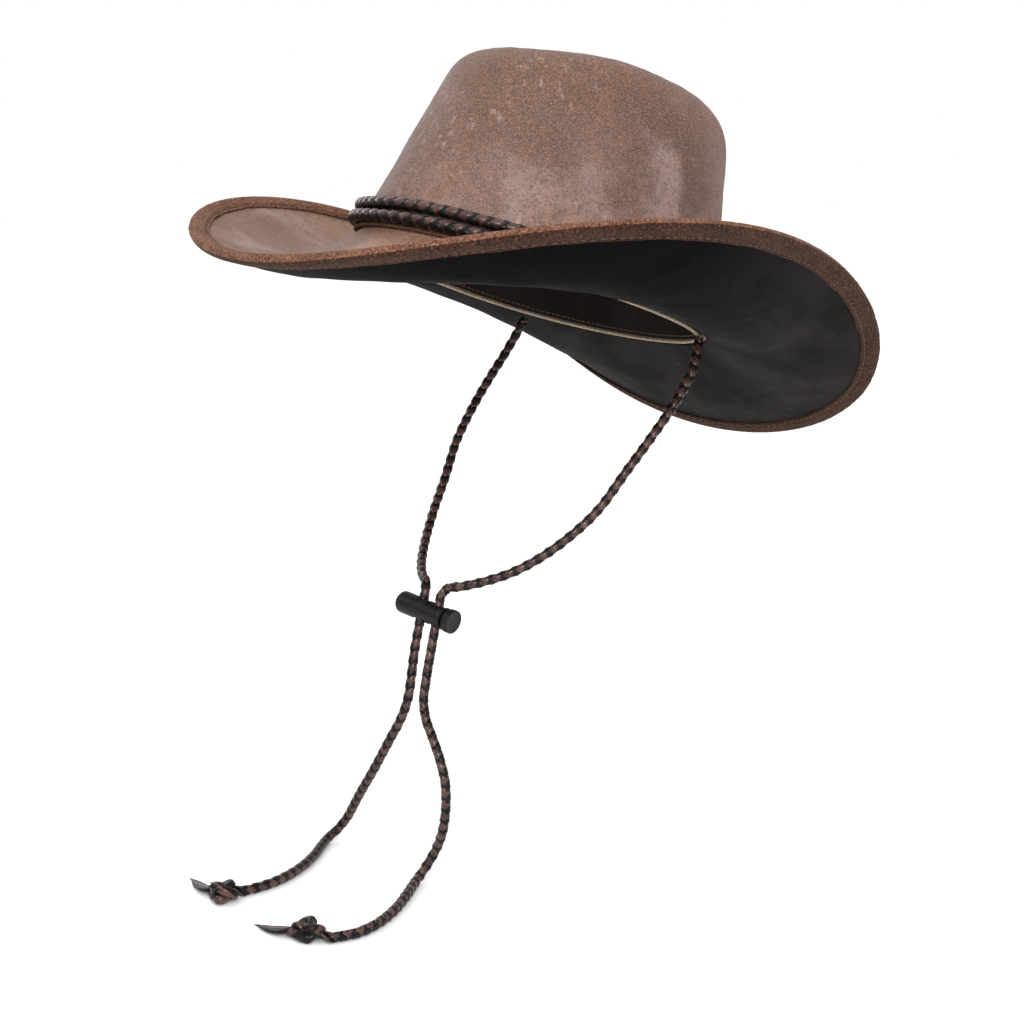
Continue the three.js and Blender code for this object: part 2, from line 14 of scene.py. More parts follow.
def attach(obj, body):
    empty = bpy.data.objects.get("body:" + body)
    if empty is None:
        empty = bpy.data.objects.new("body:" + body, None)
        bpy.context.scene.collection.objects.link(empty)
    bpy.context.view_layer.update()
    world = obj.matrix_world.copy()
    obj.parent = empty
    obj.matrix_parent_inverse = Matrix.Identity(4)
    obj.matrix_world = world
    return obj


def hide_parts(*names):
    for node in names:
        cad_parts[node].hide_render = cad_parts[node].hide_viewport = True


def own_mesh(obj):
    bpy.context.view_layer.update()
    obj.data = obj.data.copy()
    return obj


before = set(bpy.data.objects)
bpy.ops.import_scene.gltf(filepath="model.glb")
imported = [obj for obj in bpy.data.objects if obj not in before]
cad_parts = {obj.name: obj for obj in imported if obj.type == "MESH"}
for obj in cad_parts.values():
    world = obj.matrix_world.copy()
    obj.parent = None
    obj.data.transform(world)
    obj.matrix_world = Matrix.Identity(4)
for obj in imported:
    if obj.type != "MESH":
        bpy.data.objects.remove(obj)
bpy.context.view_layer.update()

MM = 0.001
TAU = 2 * math.pi

# ------------------------------------------------------------------ dimensions
WORN_TILT = math.radians(17.5)
FLOOR_Z = -300
CROWN = dict(
    half_width=85, half_length=105, top_half_width=64, top_front=67, top_back=92,
    front_height=111, side_height=115, back_height=110, corner_reach=21,
    plateau_reach=40, plateau_rise=3, thickness=1.8, dish_centre=99,
    dent_depth=7, dent_y=-30, dent_z=80, dent_span=27, foot_rise=5.2, foot_twist=3,
)
ROOT_INSET, ROOT_DROP = 2.6, 0.4
TOP_LAYER, LAYER_GAP, UNDER_LAYER = 1.6, 0.3, 1.2
BINDING_WIDTH, BINDING_ROLL, LAYER_SETBACK = 6, 1.2, 3.2
BAND_DIAMETER, BAND_STAND_OFF, BAND_HEIGHTS = 6.9, 0.2, (8.6, 15.5)
BAND_FRONT_RISE, BAND_SIDE_TILT = 1.5, 4.2
BAND_PITCH, BAND_PHASE = 15.0, math.radians(-45)
CORD_DIAMETER, CORD_PITCH, CORD_PHASE = 5.6, 13.0, 0.75
EXIT_ANGLE, EXIT_INSET, EXIT_Z = math.radians(126), 2.4, -7
LOCK_CENTRE = np.array([-1, -70.5, -161.5])
LOCK_YAW, LOCK_DIP, LOCK_SLANT = math.radians(12), math.radians(10), 1.1
SHARP_ANGLE = math.radians(32)


# ---------------------------------------------------------------------- camera
def add_camera():
    """The photograph's view: from the wearer's front left, a little above."""
    forward = Vector((-0.7273, 0.6581, -0.1951)).normalized()
    right = forward.cross(Vector((0, 0, 1))).normalized()
    upward = right.cross(forward)
    data = bpy.data.cameras.new("camera")
    data.lens = 70.3
    data.sensor_width = 36
    data.clip_end = 50
    camera = bpy.data.objects.new("camera", data)
    turn = Matrix((right, upward, -forward)).transposed().to_4x4()
    camera.matrix_world = Matrix.Translation((0.7657, -0.7073, 0.0891)) @ turn
    bpy.context.collection.objects.link(camera)
    bpy.context.scene.camera = camera


add_camera()


# ------------------------------------------------------------------- materials
class Shader:
    """A node material with short calls for the textures that it mixes.

    A texture's scale is in features per metre.
    """

    def __init__(self, name, **sockets):
        self.material = bpy.data.materials.new(name)
        self.material.use_nodes = True
        self.nodes = self.material.node_tree.nodes
        self.links = self.material.node_tree.links
        self.surface = self.nodes["Principled BSDF"]
        self.place = self.nodes.new("ShaderNodeTexCoord").outputs["Object"]
        self.height = None
        for socket, value in sockets.items():
            self.surface.inputs[socket.replace("_", " ")].default_value = value

    def stretched(self, scale):
        mapping = self.nodes.new("ShaderNodeMapping")
        mapping.inputs["Scale"].default_value = scale
        self.links.new(self.place, mapping.inputs["Vector"])
        return mapping.outputs["Vector"]

    def along(self, axis):
        """The place along one of the object's axes, in metres."""
        node = self.nodes.new("ShaderNodeSeparateXYZ")
        self.links.new(self.place, node.inputs["Vector"])
        return node.outputs[axis]

    def noise(self, scale, detail, roughness=0.55, distortion=0.0, along=None):
        node = self.nodes.new("ShaderNodeTexNoise")
        node.inputs["Scale"].default_value = scale
        node.inputs["Detail"].default_value = detail
        node.inputs["Roughness"].default_value = roughness
        node.inputs["Distortion"].default_value = distortion
        self.links.new(along or self.place, node.inputs["Vector"])
        return node.outputs["Fac"]

    def cells(self, scale):
        node = self.nodes.new("ShaderNodeTexVoronoi")
        node.inputs["Scale"].default_value = scale
        self.links.new(self.place, node.inputs["Vector"])
        return node.outputs["Distance"]

    def band(self, value, low, high, out_low=0.0, out_high=1.0):
        """value between low and high, spread smoothly over the output range."""
        node = self.nodes.new("ShaderNodeMapRange")
        node.interpolation_type = "SMOOTHSTEP"
        node.inputs["From Min"].default_value = low
        node.inputs["From Max"].default_value = high
        node.inputs["To Min"].default_value = out_low
        node.inputs["To Max"].default_value = out_high
        self.links.new(value, node.inputs["Value"])
        return node.outputs["Result"]

    def times(self, a, b, operation="MULTIPLY"):
        """Multiplies, or does the operation named, on sockets or numbers."""
        node = self.nodes.new("ShaderNodeMath")
        node.operation = operation
        for socket, value in zip(node.inputs, (a, b)):
            if isinstance(value, (int, float)):
                socket.default_value = value
            else:
                self.links.new(value, socket)
        return node.outputs["Value"]

    def blend(self, factor, first, second):
        """Mixes two colours; each is a socket or a triple."""
        node = self.nodes.new("ShaderNodeMix")
        node.data_type = "RGBA"
        if isinstance(factor, (int, float)):
            node.inputs["Factor"].default_value = factor
        else:
            self.links.new(factor, node.inputs["Factor"])
        for socket, colour in ((node.inputs[6], first), (node.inputs[7], second)):
            if isinstance(colour, tuple):
                socket.default_value = (*colour, 1)
            else:
                self.links.new(colour, socket)
        return node.outputs[2]

    def colour(self, socket):
        self.links.new(socket, self.surface.inputs["Base Color"])

    def roughness(self, socket):
        self.links.new(socket, self.surface.inputs["Roughness"])

    def bump(self, height, depth_mm, strength):
        """Adds one layer of relief, depth_mm from the texture's 0 to its 1."""
        node = self.nodes.new("ShaderNodeBump")
        node.inputs["Distance"].default_value = depth_mm * MM
        node.inputs["Strength"].default_value = strength
        self.links.new(height, node.inputs["Height"])
        if self.height is not None:
            self.links.new(self.height, node.inputs["Normal"])
        self.height = node.outputs["Normal"]
        self.links.new(self.height, self.surface.inputs["Normal"])


def distressed_leather(name, dark, mid, warm, haze, painted_top_shade=0.0, scratches=1.0):
    """Oiled leather: broad patches, fine speckle, pores and pale scratches.

    The top shade strength paints shade: it darkens and warms the leather towards the crown's top
    and front.
    """
    s = Shader(name, Specular_IOR_Level=0.36)
    broad = s.band(s.noise(17, 3, 0.5, 0.4), 0.38, 0.62)
    warm_patch = s.band(s.noise(26, 4, 0.55, 0.8), 0.5, 0.68)
    haze_patch = s.band(s.noise(21, 3, 0.5, 0.5, s.stretched((1.3, 1.1, 0.8))), 0.48, 0.68)
    blotch = s.noise(75, 5, 0.65, 0.5)
    mottle = s.noise(240, 5, 0.7)
    speck = s.noise(1150, 3, 0.8)
    colour = s.blend(broad, dark, mid)
    colour = s.blend(s.times(warm_patch, 0.7), colour, warm)
    colour = s.blend(s.times(haze_patch, 0.75), colour, haze)
    # painted shade: darker and warmer towards the crown's top and front
    if painted_top_shade:
        height = s.times(s.along("Z"), s.times(blotch, 0.05), "ADD")
        forward = s.times(s.along("Y"), 0.35)
        high = s.band(s.times(height, forward, "SUBTRACT"), 0.085, 0.135, 0.0, painted_top_shade)
        colour = s.blend(high, colour, tuple(v * 0.4 for v in warm))
    colour = s.blend(s.band(blotch, 0.36, 0.5, 0.45, 0.0), colour, dark)
    colour = s.blend(s.band(mottle, 0.5, 0.66, 0.0, 0.3), colour, warm)
    colour = s.blend(s.band(mottle, 0.5, 0.36, 0.0, 0.6), colour, dark)
    colour = s.blend(s.band(speck, 0.51, 0.62, 0.0, 0.6), colour, tuple(v * 1.2 for v in warm))
    colour = s.blend(s.band(speck, 0.49, 0.37, 0.0, 0.85), colour, tuple(v * 0.5 for v in dark))
    fibres = s.noise(55, 3, 0.5, 0.15, s.stretched((6, 6, 0.55)))
    where = s.band(s.noise(22, 2, 0.5), 0.46, 0.58)
    scratch = s.times(s.band(fibres, 0.6, 0.68), where)
    colour = s.blend(s.times(scratch, 0.28 * scratches), colour, tuple(v * 1.5 for v in haze))
    s.colour(colour)
    gloss = s.blend(haze_patch, (0.58, 0.58, 0.58), (0.44, 0.44, 0.44))
    gloss = s.blend(s.band(mottle, 0.4, 0.65, 0.0, 0.5), gloss, (0.68, 0.68, 0.68))
    s.roughness(gloss)
    s.bump(s.noise(95, 3, 0.5), 0.35, 0.5)
    s.bump(mottle, 0.3, 0.6)
    s.bump(s.cells(780), 0.14, 0.6)
    s.bump(speck, 0.18, 0.9)
    s.bump(scratch, -0.1, 0.6)
    return s.material


def suede_leather(name, dark, mid, pale):
    """Brushed nap: no gloss, a soft sheen and short fuzz."""
    s = Shader(name, Specular_IOR_Level=0.04, Sheen_Weight=0.08, Sheen_Roughness=0.5)
    s.surface.inputs["Sheen Tint"].default_value = (0.9, 0.74, 0.62, 1)
    s.surface.inputs["Roughness"].default_value = 0.95
    patches = s.band(s.noise(60, 4, 0.6, 0.5), 0.34, 0.66)
    nap = s.noise(900, 5, 0.8)
    fuzz = s.noise(3000, 2, 0.7)
    colour = s.blend(patches, tuple((a + b) / 2 for a, b in zip(dark, mid)), mid)
    colour = s.blend(s.band(nap, 0.52, 0.64, 0.0, 0.8), colour, pale)
    colour = s.blend(s.band(nap, 0.5, 0.39, 0.0, 0.9), colour, dark)
    colour = s.blend(s.band(fuzz, 0.55, 0.75, 0.0, 0.6), colour, pale)
    s.colour(colour)
    s.bump(s.noise(300, 3, 0.6), 0.4, 0.6)
    s.bump(nap, 0.6, 1.0)
    s.bump(fuzz, 0.2, 0.9)
    return s.material


def lining_leather(name, dark, pale, rough):
    """Dark waxed leather with streaks and nicks; paler towards the back as painted light, in
    random clouds.
    """
    s = Shader(name, Specular_IOR_Level=0.015)
    clouds = s.band(s.noise(20, 5, 0.6, 0.25), 0.34, 0.66, 0.45, 1.0)
    # painted light: paler towards the back of the hat, broken up by random clouds; the streaks
    # and flecks follow it
    painted_light_and_clouds = s.times(s.band(s.along("Y"), -0.05, 0.09, 0.06, 1.0), clouds)
    streaks = s.noise(60, 4, 0.65, 0.6, s.stretched((1, 4, 1)))
    speck = s.noise(1300, 3, 0.7)
    colour = s.blend(painted_light_and_clouds, dark, pale)
    streak = s.times(s.band(streaks, 0.6, 0.72, 0.0, 0.5), painted_light_and_clouds)
    colour = s.blend(streak, colour, tuple(v * 2 for v in pale))
    fleck = s.times(s.band(speck, 0.56, 0.74, 0.0, 0.8), painted_light_and_clouds)
    colour = s.blend(fleck, colour, tuple(v * 2.2 for v in pale))
    s.colour(colour)
    s.roughness(s.blend(clouds, (rough,) * 3, (rough - 0.14,) * 3))
    s.bump(s.noise(70, 3, 0.5), 0.3, 0.5)
    s.bump(s.cells(900), 0.12, 0.6)
    s.bump(speck, 0.14, 0.7)
    return s.material


def lace_leather(name, dark, mid, worn, rough, specular):
    """Flat lacing: smooth finished grain with pores and rubbed spots."""
    s = Shader(name, Specular_IOR_Level=specular)
    tone = s.band(s.noise(120, 3, 0.5), 0.38, 0.64)
    rub = s.band(s.noise(420, 4, 0.65), 0.56, 0.7)
    colour = s.blend(tone, dark, mid)
    colour = s.blend(s.times(rub, 0.45), colour, worn)
    s.colour(colour)
    s.roughness(s.blend(rub, (rough,) * 3, (rough + 0.2,) * 3))
    s.bump(s.noise(650, 3, 0.6), 0.12, 0.5)
    s.bump(s.cells(1700), 0.05, 0.5)
    return s.material


def woven_piping(name, dark, pale):
    s = Shader(name, Specular_IOR_Level=0.2, Roughness=0.85)
    weave = s.cells(1500)
    s.colour(s.blend(s.band(weave, 0.2, 0.7), pale, dark))
    s.bump(weave, -0.18, 0.8)
    return s.material


def sewing_thread(name, dark, pale):
    s = Shader(name, Specular_IOR_Level=0.3, Roughness=0.7)
    ply = s.noise(1500, 2, 0.6)
    s.colour(s.blend(s.band(ply, 0.35, 0.65), dark, pale))
    s.bump(ply, 0.1, 0.8)
    return s.material


def moulded_plastic(name, tone):
    s = Shader(name, Specular_IOR_Level=0.2)
    haze = s.noise(160, 4, 0.6)
    s.colour(s.blend(s.band(haze, 0.4, 0.65), tuple(v * 0.8 for v in tone), tone))
    s.roughness(s.band(haze, 0.35, 0.7, 0.36, 0.48))
    s.bump(s.noise(2400, 2, 0.5), 0.02, 0.6)
    return s.material


def drawn_steel(name):
    s = Shader(name, Metallic=1.0)
    grain = s.noise(900, 3, 0.6)
    s.colour(s.blend(s.band(grain, 0.35, 0.65), (0.5, 0.5, 0.5), (0.66, 0.66, 0.66)))
    s.roughness(s.band(grain, 0.3, 0.7, 0.25, 0.4))
    return s.material


# the last number is the strength of the painted shade at the crown's top and front
LEATHER = distressed_leather(
    "brown_leather", (0.086, 0.049, 0.039), (0.188, 0.114, 0.093),
    (0.24, 0.12, 0.077), (0.285, 0.21, 0.196), 0.95)
BRIM_LEATHER = distressed_leather(
    "brim_leather", (0.12, 0.062, 0.042), (0.2, 0.112, 0.08),
    (0.24, 0.125, 0.08), (0.26, 0.175, 0.145), scratches=0.25)
SUEDE = suede_leather("suede", (0.03, 0.011, 0.006), (0.155, 0.069, 0.042), (0.4, 0.205, 0.13))
# a darker copy of the suede: painted shade for the binding's downward side
SHADED_SUEDE = suede_leather(
    "shaded_suede", (0.01, 0.0045, 0.003), (0.04, 0.019, 0.0125), (0.14, 0.068, 0.044))
RAW_EDGE = suede_leather(
    "raw_edge", (0.025, 0.01, 0.005), (0.1, 0.045, 0.025), (0.26, 0.135, 0.08))
DARK = lining_leather("dark_leather", (0.0018, 0.0015, 0.0016), (0.021, 0.0185, 0.018), 0.78)
BAND_LEATHER = lining_leather(
    "sweatband_leather", (0.006, 0.0048, 0.0048), (0.017, 0.014, 0.013), 0.74)
BROWN_LACE = lace_leather(
    "brown_lace", (0.032, 0.013, 0.01), (0.075, 0.033, 0.026), (0.18, 0.092, 0.065), 0.25, 0.35)
BLACK_LACE = lace_leather(
    "black_lace", (0.002, 0.002, 0.002), (0.006, 0.006, 0.0056), (0.025, 0.023, 0.02), 0.3, 0.16)
PIPING = woven_piping("pale_piping", (0.2, 0.15, 0.1), (0.45, 0.37, 0.26))
THREAD = sewing_thread("brown_thread", (0.04, 0.02, 0.012), (0.11, 0.06, 0.036))
PLASTIC = moulded_plastic("black_plastic", (0.0055, 0.0055, 0.006))
STEEL = drawn_steel("steel_wire")


# ---------------------------------------------------------------- mesh helpers
def worn(points):
    """Points of the upright hat, tipped back about X as it is worn."""
    p = np.asarray(points, float)
    c, s = math.cos(WORN_TILT), math.sin(WORN_TILT)
    return np.stack([p[..., 0], c * p[..., 1] + s * p[..., 2],
                     c * p[..., 2] - s * p[..., 1]], axis=-1)


def grid_faces(rows, columns, wrap_rows, wrap_columns, first=0):
    """Quads of a grid of rows x columns points numbered from first."""
    i = np.arange(rows if wrap_rows else rows - 1)[:, None]
    j = np.arange(columns if wrap_columns else columns - 1)[None, :]
    i2, j2 = (i + 1) % rows, (j + 1) % columns
    quad = np.stack([i * columns + j, i2 * columns + j,
                     i2 * columns + j2, i * columns + j2], axis=-1)
    return (quad.reshape(-1, 4) + first).tolist()


def solid(name, points, faces, materials=(), kinds=None):
    """A closed mesh object from points in millimetres, its normals outwards."""
    mesh = bpy.data.meshes.new(name)
    mesh.from_pydata((np.asarray(points) * MM).tolist(), [], faces)
    for material in materials:
        mesh.materials.append(material)
    if kinds is not None:
        mesh.polygons.foreach_set("material_index", np.asarray(kinds, dtype=np.int32))
    work = bmesh.new()
    work.from_mesh(mesh)
    bmesh.ops.recalc_face_normals(work, faces=work.faces)
    work.to_mesh(mesh)
    work.free()
    shape = bpy.data.objects.new(name, mesh)
    bpy.context.collection.objects.link(shape)
    return shape


def add_piece(name, points, faces, materials, node, body="hat", kinds=None):
    """A visible piece that stands for a CAD node; kinds picks each face's material."""
    piece = solid(name, points, faces, materials, kinds)
    piece.data.shade_smooth()
    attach(piece, body)
    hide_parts(node)
    return piece


def waves(points, length_mm, seed, count=7):
    """Smooth unevenness between about -1 and 1, with bumps of that length."""
    rng = np.random.default_rng(seed)
    total = np.zeros(points.shape[:-1])
    for _ in range(count):
        way = rng.normal(size=3)
        way *= TAU / (length_mm * rng.uniform(0.7, 1.5)) / np.linalg.norm(way)
        total += np.sin(points @ way + rng.uniform(0, TAU))
    return total / math.sqrt(count)


def end_caps(rows, columns, first=0):
    """The two faces that close a grid of rounds at its first and last row."""
    last = first + (rows - 1) * columns
    return [list(range(first, first + columns)),
            list(range(last, last + columns))[::-1]]


def ring_piece(name, section, count, materials, node, kinds=None):
    """A closed ring: section(angle) gives the closed outline at each station."""
    grid = np.stack([section(a) for a in np.arange(count) / count * TAU])
    columns = grid.shape[1]
    faces = grid_faces(count, columns, True, True)
    all_kinds = None if kinds is None else np.tile(kinds, count)
    return add_piece(name, worn(grid).reshape(-1, 3), faces, materials, node,
                     kinds=all_kinds)


# ------------------------------------------------------------------ hat shapes
def oval(angle, inset, z):
    angle = np.asarray(angle, float)
    return np.stack([(CROWN["half_width"] - inset) * np.sin(angle),
                     -(CROWN["half_length"] - inset) * np.cos(angle),
                     np.broadcast_to(z, angle.shape).astype(float)], axis=-1)


def press_dents(p):
    """A soft dent in each side, near the front of the crown."""
    across = np.minimum(1, np.abs(p[..., 0]) / 40)
    away = ((p[..., 1] - CROWN["dent_y"]) ** 2 + (p[..., 2] - CROWN["dent_z"]) ** 2)
    push = CROWN["dent_depth"] * across * np.exp(-away / CROWN["dent_span"] ** 2)
    p = p.copy()
    p[..., 0] -= np.sign(p[..., 0]) * push
    return p


def towards(start, end, reach):
    way = end - start
    return start + way * (reach / np.linalg.norm(way, axis=-1, keepdims=True))


def foot_height(angle):
    """The crown's foot climbs towards the front, more on the wearer's right."""
    frontness = (1 + np.cos(angle)) / 2
    return CROWN["foot_rise"] * frontness ** 1.5 - CROWN["foot_twist"] * np.sin(angle) * frontness


def crown_ring(angle, v, inset):
    """The crown at heights v: 0 to 1 wall, 1 to 2 top corner, 2 to 3 dish."""
    s, c = np.sin(angle), np.cos(angle)
    middle = (CROWN["top_back"] - CROWN["top_front"]) / 2
    half = (CROWN["top_back"] + CROWN["top_front"]) / 2 - inset
    wide = CROWN["top_half_width"] - inset
    front, side, back = (CROWN[k] for k in ("front_height", "side_height", "back_height"))
    height = side + (front - back) / 2 * c + ((front + back) / 2 - side) * c * c - inset
    reach = CROWN["plateau_reach"]
    ground = oval(angle, inset, 0)
    corner = np.stack([wide * s, middle - half * c, height], axis=-1)
    inner = np.stack([(wide - reach) * s, middle - (half - reach) * c,
                      height + CROWN["plateau_rise"]], axis=-1)
    wall_end = towards(corner, ground, CROWN["corner_reach"])
    share = foot_height(angle) / wall_end[..., 2]
    base = ground + (wall_end - ground) * share[..., None]
    ridge = towards(corner, inner, CROWN["corner_reach"])
    if v <= 1:
        return press_dents(base + (wall_end - base) * v)
    if v <= 2:
        t = v - 1
        low = wall_end + (corner - wall_end) * t
        high = corner + (ridge - corner) * t
        return press_dents(low + (high - low) * t)
    k = 3 - v
    centre = np.stack([np.zeros_like(s), np.full_like(s, middle), ridge[..., 2]], axis=-1)
    p = centre + (ridge - centre) * k
    low = CROWN["dish_centre"] - inset
    p[..., 2] = low + (ridge[..., 2] - low) * k * k * (3 - 2 * k)
    return press_dents(p)


STRAIGHT_WALL = 0.35


def wall_point(angle, z, inset):
    """On the straight part of the wall, or on its line carried down, at height z."""
    low = crown_ring(np.asarray(angle, float), 0, inset)
    high = crown_ring(np.asarray(angle, float), STRAIGHT_WALL, inset)
    share = (z - low[..., 2]) / (high[..., 2] - low[..., 2])
    return low + (high - low) * np.asarray(share)[..., None]


def foot_point(angle, above_foot, inset):
    return wall_point(angle, foot_height(np.asarray(angle, float)) + above_foot, inset)


def outward(angle):
    p = np.stack([np.sin(angle) / CROWN["half_width"],
                  -np.cos(angle) / CROWN["half_length"], 0 * angle], axis=-1)
    return p / np.linalg.norm(p, axis=-1, keepdims=True)


def rim(a):
    """Outer line of the brim: sides rolled up, front and back drawn down."""
    x = 172.5 * np.sin(a) + 7.5 * np.sin(3 * a) - 5 * np.sin(4 * a)
    y = 2.5 - 177 * np.cos(a) - 3.5 * np.cos(2 * a) + 2 * np.cos(3 * a)
    z = (2.5 + 2 * np.cos(a) - 34 * np.cos(2 * a) + 2 * np.cos(3 * a) - 1.3 * np.cos(4 * a))
    return np.stack([x, y, z], axis=-1)


def brim_point(a, t):
    a, t = np.broadcast_arrays(np.asarray(a, float), np.asarray(t, float))
    start, edge = foot_point(a, -ROOT_DROP, ROOT_INSET), rim(a)
    sag = 12.4 + 4.4 * np.cos(a) + 5.7 * np.cos(2 * a)
    p = start + (edge - start) * t[..., None]
    p[..., 2] = (start[..., 2] + (edge[..., 2] - start[..., 2]) * t * t
                 - sag * np.sin(np.pi * t) * (1.2 - 0.4 * t))
    return p


def brim_normal(a, t):
    step = 0.004
    round_way = brim_point(a + step, t) - brim_point(a - step, t)
    out_way = brim_point(a, t + step) - brim_point(a, t - step)
    n = np.cross(out_way, round_way)
    n /= np.linalg.norm(n, axis=-1, keepdims=True)
    return n * np.sign(n[..., 2:])


def brim_offset(a, t, distance):
    a, t = np.broadcast_arrays(np.asarray(a, float), np.asarray(t, float))
    return brim_point(a, t) + brim_normal(a, t) * np.asarray(distance, float)[..., None]


def rim_step(a):
    return float(np.linalg.norm(brim_point(a, 1) - brim_point(a, 0.98)) / 0.02)


def rim_section(a, out, high):
    """Points by distance out from the leather's edge and height above the brim."""
    t = 1 + (np.asarray(out, float) - LAYER_SETBACK) / rim_step(a)
    return brim_offset(np.full(t.shape, float(a)), t, high)


# ----------------------------------------------------------------------- crown
CROWN_MIDDLE = np.array([0, 12.5, 40.0])
RAW_ROWS = 5                       # rows of faces at the foot that are the cut edge


def add_crown():
    """The crown's outside and inside, joined at the foot and closed in the dish."""
    around = 320
    angles = np.arange(around) / around * TAU
    outer_v = np.concatenate([np.linspace(0, 0.04, 6)[:-1], np.linspace(0.04, 1, 45),
                              np.linspace(1, 2, 26)[1:],
                              np.linspace(2, 2.985, 36)[1:]])
    inner_v = np.concatenate([np.linspace(2.96, 2, 14), np.linspace(2, 1, 10)[1:],
                              np.linspace(1, 0, 14)[1:]])
    outer = np.stack([crown_ring(angles, v, 0) for v in outer_v])
    ease = np.minimum(1, outer_v / 0.25)[:, None]
    uneven = 0.55 * waves(outer, 75, 3) + 0.22 * waves(outer, 26, 4) + 0.1 * waves(outer, 9, 5)
    away = outer - CROWN_MIDDLE
    away /= np.linalg.norm(away, axis=-1, keepdims=True)
    outer = outer + away * (uneven * ease)[..., None]
    frayed = np.exp(-(outer_v / 0.02) ** 2)[:, None] * (0.6 + 0.45 * waves(outer, 3.2, 6, 9))
    outer = outer + outward(angles)[None] * frayed[..., None]
    inner = np.stack([crown_ring(angles, v, CROWN["thickness"]) for v in inner_v])
    inner[inner_v > 2] -= np.array([0, 0, 0.6])      # clear of the uneven top
    lip = foot_point(angles, -0.5, CROWN["thickness"] / 2)[None]
    rows = np.concatenate([lip, outer])
    top = len(rows) * around
    faces = grid_faces(len(rows), around, False, True)
    faces += grid_faces(len(inner), around, False, True, top)
    under_top = top + len(inner) * around
    middles = [outer[-1].mean(axis=0), inner[0].mean(axis=0)]
    for i in range(around):
        j = (i + 1) % around
        last = top - around
        faces.append([last + i, last + j, under_top])
        faces.append([top + j, top + i, under_top + 1])
        foot = under_top - around
        faces.append([i, j, foot + j, foot + i])
    points = np.concatenate([rows.reshape(-1, 3), inner.reshape(-1, 3), np.array(middles)])
    kinds = [1 if min(face) < RAW_ROWS * around else 0 for face in faces]
    add_piece("crown_leather", worn(points), faces, [LEATHER, RAW_EDGE], "crown",
              kinds=kinds)


# ------------------------------------------------------------------------ brim
BRIM_STATIONS = 420
COLLAR_OUTSIDE, COLLAR_INSIDE, COLLAR_THICKNESS = (9, 5, -0.3), (-1.2, 5, 9), 1.2


def shell_of_brim(name, t_values, top, bottom, materials, node, seed, collar=None):
    """One leather layer of the brim, as a closed shell between two offsets."""
    def section(a):
        angle = np.full(t_values.shape, float(a))
        upper = brim_offset(angle, t_values, np.full(t_values.shape, float(top)))
        lower = brim_offset(angle, t_values, np.full(t_values.shape, float(bottom)))[::-1]
        soft = np.sin(np.pi * np.clip((t_values - 0.05) / 0.95, 0, 1)) ** 0.5
        for face, fade in ((upper, soft), (lower, soft[::-1])):
            face[:, 2] += (0.5 * waves(face, 70, seed) + 0.14 * waves(face, 18, seed + 1)) * fade
        if collar is None:
            return np.concatenate([upper, lower])
        outside = [foot_point(a, z, collar) for z in COLLAR_OUTSIDE]
        inside = [foot_point(a, z, collar + COLLAR_THICKNESS) for z in COLLAR_INSIDE]
        return np.concatenate([np.stack(outside), upper, lower, np.stack(inside)])
    ring_piece(name, section, BRIM_STATIONS, materials, node)


def add_brim():
    top_t = np.concatenate([np.linspace(0.03, 0.3, 16), np.linspace(0.3, 0.985, 40)[1:]])
    shell_of_brim("brim_top_leather", top_t, 0, -TOP_LAYER, [BRIM_LEATHER], "brim_top",
                  21, collar=2.1)
    top = -(TOP_LAYER + LAYER_GAP)
    shell_of_brim("brim_lining", top_t, top, top - UNDER_LAYER, [DARK], "brim_underside",
                  21)


UNDER_FACE = -(TOP_LAYER + LAYER_GAP + UNDER_LAYER)


def add_binding():
    """The suede strip, rolled over the edge and pulled in along its stitches; its downward side
    gets a darker suede as painted shade.
    """
    middle = UNDER_FACE / 2
    tall = -middle + LAYER_GAP + BINDING_ROLL

    def outline(a):
        wob = 0.18 * math.sin(23 * a + 1) + 0.14 * math.sin(41 * a) + 0.1 * math.sin(67 * a + 2)
        turn = np.linspace(math.pi / 2, -math.pi / 2, 17)
        nose_out = 0.6 + 3.8 * np.cos(turn)
        nose_high = middle + tall * np.sin(turn)
        flat = np.linspace(-BINDING_WIDTH + wob, 0, 15)
        from_edge = flat + BINDING_WIDTH - wob
        groove = 0.8 * np.exp(-((from_edge - 1.9) / 0.7) ** 2)
        edge_drop = 0.55 * np.exp(-from_edge / 0.35)
        rise = tall - groove - edge_drop
        top = np.stack([flat, middle + rise], axis=-1)
        bottom = np.stack([flat, middle - rise], axis=-1)[::-1]
        nose = np.stack([nose_out, nose_high], axis=-1)
        clear = 0.12
        inner = np.array([[-BINDING_WIDTH + wob, 2 * middle - clear], [1.2, 2 * middle - clear],
                          [2.9, middle], [1.2, clear], [-BINDING_WIDTH + wob, clear]])
        return np.concatenate([top, nose, bottom, inner])

    def section(a):
        shape = outline(a)
        points = rim_section(a, shape[:, 0], shape[:, 1])
        grain = 0.16 * waves(points, 6, 31, 9) + 0.12 * waves(points, 2.6, 32, 9)
        return points + outward(np.array(float(a))) * grain[:, None] * 0.7
    columns = len(outline(0.0))
    below, inner_side = 25, columns - 5          # the columns that face down, in darker suede as painted shade
    kinds = [1 if below <= j < inner_side else 0 for j in range(columns)]
    ring_piece("binding_suede", section, 900, [SUEDE, SHADED_SUEDE], "edge_binding",
               kinds=kinds)


def add_wire():
    middle, wire_out, radius = UNDER_FACE / 2, 1.3, 0.85
    turn = np.arange(10) / 10 * TAU

    def section(a):
        return rim_section(a, wire_out + radius * np.cos(turn), middle + radius * np.sin(turn))
    ring_piece("shaping_wire", section, 240, [STEEL], "edge_wire")


